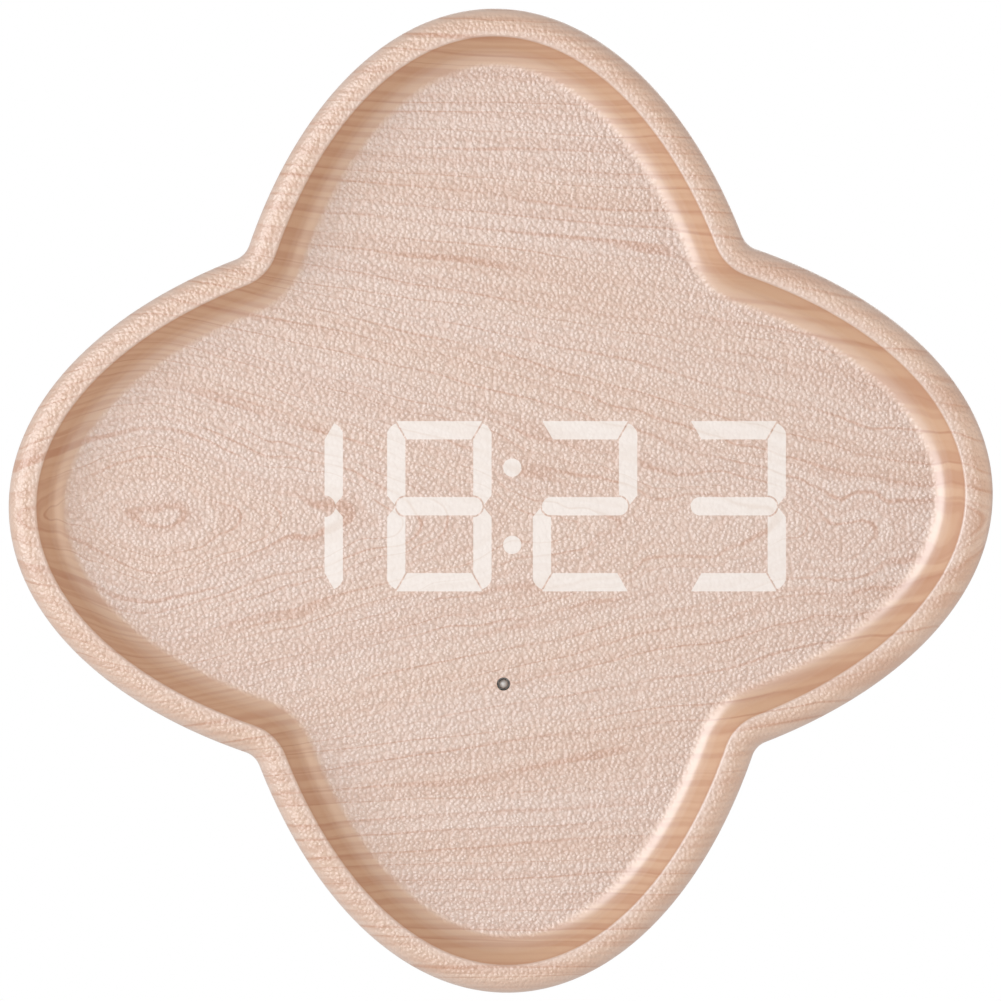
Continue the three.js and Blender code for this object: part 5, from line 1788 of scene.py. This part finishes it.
@dataclass
class Controls(SubAssembly):
    """The three buttons, the slide switch's knob and the charging socket in the well."""

    cap: float = 7 * MM
    cap_sides: int = 64
    cap_round: float = 0.6 * MM
    round_steps: int = 6
    flange: float = 9 * MM
    flange_thickness: float = 0.8 * MM
    flange_edge: float = 0.1 * MM
    dish: float = 0.22 * MM
    dish_share: float = 0.85
    marks: tuple[Mark, ...] = (Mark.DOT, Mark.ARROW_UP, Mark.ARROW_DOWN)
    mark_size: float = 2.7 * MM
    mark_sink: float = 0.04 * MM
    mark_edge: tuple[Point, ...] = ((0.05 * MM, -0.01 * MM), (0.0, -0.07 * MM))
    stem: Triple = (2 * MM, 1.8 * MM, 0.25 * MM)
    grip: Triple = (5 * MM, 4 * MM, 0.5 * MM)
    grip_depth: float = 1.8 * MM
    grip_edge: tuple[Point, ...] = ((0.3 * MM, 0.0), (0.09 * MM, -0.09 * MM), (0.0, -0.3 * MM))
    groove: Triple = (0.6 * MM, 3.2 * MM, 0.25 * MM)
    groove_pitch: float = 1.2 * MM
    groove_edge: float = 0.05 * MM
    groove_side: tuple[Point, ...] = ((0.1 * MM, 0.0), (0.55 * MM, -0.05 * MM))
    socket: Point = (9 * MM, 3.3 * MM)
    socket_edge: float = 0.08 * MM
    socket_shell: float = 0.35 * MM
    socket_floor: float = 1.4 * MM
    tongue: Triple = (6.6 * MM, 0.7 * MM, 0.12 * MM)
    tongue_back: float = 0.7 * MM
    tongue_taper: float = 0.1 * MM
    contact: Triple = (0.4 * MM, 0.06 * MM, 0.02 * MM)
    contact_pitch: float = 0.95 * MM
    contact_rise: float = 0.02 * MM
    contact_ends: Point = (0.2 * MM, 0.4 * MM)
    contacts: int = 6

    def button(self, name: str, mark: Mark) -> None:
        """Makes one button's cap.

        Args:
            name: the button's name.
            mark: the mark on its top.
        """
        node = f"{name}_button"
        low_y, top_y, at = reach_of(node)
        shell = Shell(f"{name}_cap")
        shape = Round(self.cap, at.x, at.z, self.cap_sides)
        flange = (self.flange - self.cap) / 2
        front = shell.loop(shape, low_y, flange - self.flange_edge)
        shell.flat(front)
        steps = [
            (low_y + self.flange_edge, flange),
            (low_y + self.flange_thickness, flange),
            (low_y + self.flange_thickness, 0.0),
            (top_y - self.cap_round, 0.0),
        ]
        for i in range(1, self.round_steps + 1):
            angle = math.pi / 2 * i / self.round_steps
            rise, run = math.sin(angle), 1 - math.cos(angle)
            steps.append((top_y - self.cap_round * (1 - rise), -self.cap_round * run))
        inner = self.cap / 2 - self.cap_round
        dish_radius = self.mark_size * self.dish_share
        for i in range(1, self.round_steps + 1):
            share = i / self.round_steps
            sink = self.dish * (1 - math.cos(share * math.pi)) / 2
            radius = inner + (dish_radius - inner) * share
            steps.append((top_y - sink, radius - self.cap / 2))
        ring = shell.path(front, *steps)
        base = shell.loop(mark.shape(self.mark_size, at.x, at.z), top_y - self.dish)
        shell.flat(ring, base, crease=False)
        for drop, grow in self.mark_edge:
            base = shell.to(base, top_y - self.mark_sink - drop, grow)
            shell.mark(base, 1.0, 0.0)
        shell.flat(base)
        self.fasten(shell.finish(), BUTTON, "button_plastic", node, body=node)

    def knob(self) -> None:
        """Makes the slide switch's knob with its grip grooves."""
        node = "power_switch_knob"
        low_y, top_y, at = reach_of(node)
        grip_y = top_y - self.grip_depth
        shell = Shell("slide_knob")
        stem_end = shell.loop(RoundedBox(*self.stem, at.x, at.z, steps=4), low_y)
        stem_root = shell.to(stem_end, grip_y)
        shell.flat(stem_end)
        base = shell.loop(RoundedBox(*self.grip, at.x, at.z), grip_y)
        shell.flat(base, stem_root)
        rim = shell.path(base, *((top_y - drop, grow) for drop, grow in self.grip_edge))
        mouths = []
        for side in (-1, 0, 1):
            groove = RoundedBox(*self.groove, at.x + side * self.groove_pitch, at.z, steps=4)
            mouth = shell.loop(groove, top_y, self.groove_edge)
            mouths.append(mouth)
            shell.flat(shell.path(mouth, *((top_y - drop, grow) for drop, grow in self.groove_side)))
        shell.flat(rim, *mouths)
        self.fasten(shell.finish(), BUTTON, "button_plastic", node, body=node)

    def charging_socket(self) -> None:
        """Makes the socket's steel shell, its black tongue and the gilt contacts."""
        low_y, top_y, at = reach_of("charging_socket")
        width, height = self.socket
        edge_y = top_y - self.socket_edge
        floor_y = low_y + self.socket_floor
        shell = Shell("socket_shell")
        outer = RoundedBox(width, height, height / 2, at.x, at.z, steps=12)
        front = shell.loop(outer, low_y)
        shell.flat(front)
        rim = shell.path(front, (edge_y, 0.0), (top_y, -self.socket_edge))
        mouth = shell.loop(outer, top_y, self.socket_edge - self.socket_shell)
        shell.flat(rim, mouth)
        shell.flat(shell.path(mouth, (edge_y, -self.socket_shell), (floor_y, -self.socket_shell)))
        self.fasten(shell.finish(), NICKEL, "nickel_steel", "charging_socket")

        tongue = Shell("socket_tongue")
        blade = RoundedBox(*self.tongue, at.x, at.z, steps=3)
        tip_y = top_y - self.tongue_back
        tongue.bar(blade, (floor_y, 0.0), (tip_y - self.tongue[2], 0.0), (tip_y, -self.tongue_taper))
        self.fasten(tongue.finish(), BLACK, "black_plastic", "charging_socket")

        contacts = Shell("socket_contacts")
        root, tip = self.contact_ends
        for side in (-1, 1):
            z = at.z + side * (self.tongue[1] / 2 + self.contact_rise)
            for index in range(self.contacts):
                x = at.x + (index - (self.contacts - 1) / 2) * self.contact_pitch
                pad = RoundedBox(*self.contact, x, z, steps=2)
                contacts.bar(pad, (floor_y + root, 0.0), (tip_y - tip, 0.0))
        self.fasten(contacts.finish(), GOLD, "nickel_steel")

    def build(self) -> None:
        """Makes the controls and dresses the switch parts behind them."""
        for name, mark in zip(BUTTON_NAMES, self.marks, strict=True):
            self.button(name, mark)
            self.keep(BLACK, f"{name}_switch")
            self.keep(WHITE, f"{name}_plunger")
        self.knob()
        self.keep(NICKEL, "power_switch")
        self.charging_socket()


@dataclass
class Sensor(SubAssembly):
    """The light sensor under the digits, in its foam shroud."""

    diameter: float = 3 * MM
    flange: float = 3.7 * MM
    flange_thickness: float = 0.8 * MM
    body: float = 5 * MM
    leg: Triple = (0.6 * MM, 0.6 * MM, 0.1 * MM)
    leg_spacing: float = 1.6 * MM
    dome_steps: int = 12

    def build(self) -> None:
        """Makes the domed body with its flange and legs, and dresses the shroud."""
        tip_y, end_y, at = reach_of("light_sensor")
        shell = Shell("sensor_dome")
        radius = self.diameter / 2
        dome = []
        for i in range(1, self.dome_steps + 1):
            angle = math.pi / 2 * i / self.dome_steps
            dome.append((tip_y + radius * (1 - math.cos(angle)), radius * (math.sin(angle) - 1)))
        tip = shell.loop(Round(self.diameter, at.x, at.z), *dome[0])
        shell.flat(tip, crease=False)
        flange_y = tip_y + self.body
        back_y = flange_y + self.flange_thickness
        grow = (self.flange - self.diameter) / 2
        back = shell.path(tip, *dome[1:], (flange_y, 0.0), (flange_y, grow), (back_y, grow))
        legs = []
        for side in (-1, 1):
            leg = RoundedBox(*self.leg, at.x + side * self.leg_spacing / 2, at.z, steps=2)
            legs.append(shell.pit(leg, back_y, end_y))
        shell.flat(back, *legs)
        self.fasten(shell.finish(), CLEAR, "clear_lens", "light_sensor")
        self.keep(FOAM, "sensor_shroud")


@dataclass
class Electronics(SubAssembly):
    """What the case holds: display stack, control board, battery and their wiring."""

    def build(self) -> None:
        """Dresses the solids inside the case, which stay as they are."""
        for finish, nodes in (
            (DIFFUSER, ["diffuser_sheet"]),
            (WHITE, ["segment_mask"]),
            (BOARD, ["display_board", "control_board"]),
            (BLACK, ["display_driver", "microcontroller", "buzzer", "coin_cell_holder"]),
            (NICKEL, ["coin_cell"]),
            (PAD, ["battery_pad"]),
            (FOIL, ["battery_pack"]),
            (RED_WIRE, ["battery_wire_red"]),
            (BLACK_WIRE, ["battery_wire_black"]),
            (RIBBON, ["ribbon_cable"]),
            (SCREW, screws("display") + screws("board")),
        ):
            self.keep(finish, *nodes)


# The studio


@dataclass(frozen=True)
class FloorFinish(Finish):
    """Pale, lightly gritty paint."""

    pale: Colour = (0.88, 0.87, 0.86)
    paler: Colour = (0.93, 0.925, 0.92)

    def paint(self, g: Graph, place: NodeSocket) -> None:
        """Draws faint clouds and grit.

        Args:
            g: the graph that it fills.
            place: the place on the object, in metres.
        """
        clouds = g.noise(place, 3.0, 3.0)
        grit = g.noise(place, 260.0, 2.0)
        tone = g.blend(clouds, self.pale, self.paler)
        rough = g.sway(grit, 0.62, 0.75)
        g.set(Base_Color=tone, Roughness=rough, Normal=g.relief(grit, 0.3 * MM, 0.2))


FLOOR = FloorFinish("studio floor")


@dataclass(frozen=True)
class Panel:
    """A soft light panel that faces the clock: its place, sides, power and tint."""

    name: str
    place: Triple
    width: float
    height: float
    power: float
    tint: Colour = (1.0, 1.0, 1.0)

    def build(self) -> None:
        """Makes the light."""
        lamp = bpy.data.lights.new(self.name, "AREA")
        lamp.shape = "RECTANGLE"
        lamp.size = self.width
        lamp.size_y = self.height
        lamp.energy = self.power
        lamp.color = self.tint
        panel = in_scene(self.name, lamp)
        panel.location = self.place
        towards = Vector() - Vector(self.place)
        panel.rotation_euler = towards.to_track_quat("-Z", "Y").to_euler()


@dataclass
class Studio:
    """The camera of the photograph, a pale floor, a white backdrop and soft panels of light."""

    distance: float = 3.0
    front_y: float = -28.6 * MM
    frame_width: float = 305.1 * MM
    sensor: float = 36.0
    aim_x: float = -0.07 * MM
    aim_z: float = 0.05 * MM
    floor_z: float = -0.45
    floor_side: float = 2.4
    floor_cells: int = 24
    clip_end: float = 50.0
    ambient: float = 0.60
    panels: tuple[Panel, ...] = (
        Panel("key", (-2.0, -1.8, 0.3), 2.4, 3.4, 62.0, (0.95, 1.0, 1.07)),
        Panel("front", (-0.5, -3.6, 0.0), 2.6, 2.2, 25.0, (1.0, 0.985, 0.975)),
        Panel("fill", (3.0, -0.7, -0.1), 4.2, 3.2, 31.0, (1.0, 0.72, 0.5)),
        Panel("rear", (0.4, 3.2, 1.0), 2.0, 1.6, 15.0),
    )

    def camera(self) -> None:
        """Makes the camera, level and square to the clock's front."""
        data = bpy.data.cameras.new("camera")
        data.sensor_width = self.sensor
        data.lens = self.sensor * self.distance / self.frame_width
        data.clip_end = self.clip_end
        camera = in_scene("camera", data)
        camera.location = (self.aim_x, self.front_y - self.distance, self.aim_z)
        camera.rotation_euler = (math.pi / 2, 0.0, 0.0)
        bpy.context.scene.camera = camera

    def floor(self) -> None:
        """Makes the pale floor below the clock."""
        bm = bmesh.new()
        cells = self.floor_cells
        bmesh.ops.create_grid(bm, x_segments=cells, y_segments=cells, size=self.floor_side / 2)
        bmesh.ops.translate(bm, verts=bm.verts, vec=(0.0, 0.0, self.floor_z))
        mesh = bpy.data.meshes.new("floor")
        bm.to_mesh(mesh)
        bm.free()
        floor = in_scene("floor", mesh)
        mesh.materials.append(FLOOR.material())

    def backdrop(self) -> None:
        """Makes the world: white where the camera sees it, and dimmer as a light."""
        world = bpy.data.worlds.new("studio")
        world.use_nodes = True
        tree = world.node_tree
        shader = tree.nodes["Background"]
        shader.inputs["Color"].default_value = (1.0, 1.0, 1.0, 1.0)
        rays = tree.nodes.new("ShaderNodeLightPath")
        level = tree.nodes.new("ShaderNodeMapRange")
        level.inputs["To Min"].default_value = self.ambient
        level.inputs["To Max"].default_value = 1.0
        tree.links.new(rays.outputs["Is Camera Ray"], level.inputs["Value"])
        tree.links.new(level.outputs["Result"], shader.inputs["Strength"])
        bpy.context.scene.world = world
        bpy.context.scene.view_settings.view_transform = "Standard"

    def build(self) -> None:
        """Sets the studio up."""
        self.camera()
        self.floor()
        self.backdrop()
        for panel in self.panels:
            panel.build()


def corners(bounds: Sequence[Sequence[float]]) -> list[list[float]]:
    """Gives a box's corners as plain lists."""
    return [[float(value) for value in corner] for corner in bounds]


def main() -> None:
    """Builds the studio and the clock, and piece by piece."""
    logging.basicConfig(level=logging.INFO, format="%(name)s %(message)s")
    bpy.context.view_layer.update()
    Studio().build()
    wardrobe = Wardrobe()
    outline, profile, digits = Outline(), FrontProfile(), Digits()
    parts = (
        FilmSkin(wardrobe, outline, profile, digits),
        WoodCore(wardrobe, outline, profile, digits),
        RearCover(wardrobe, outline),
        Hanger(wardrobe),
        Fasteners(wardrobe),
        Controls(wardrobe),
        Sensor(wardrobe),
        Electronics(wardrobe),
    )
    for part in parts:
        part.build()


if __name__ == "__main__":
    main()
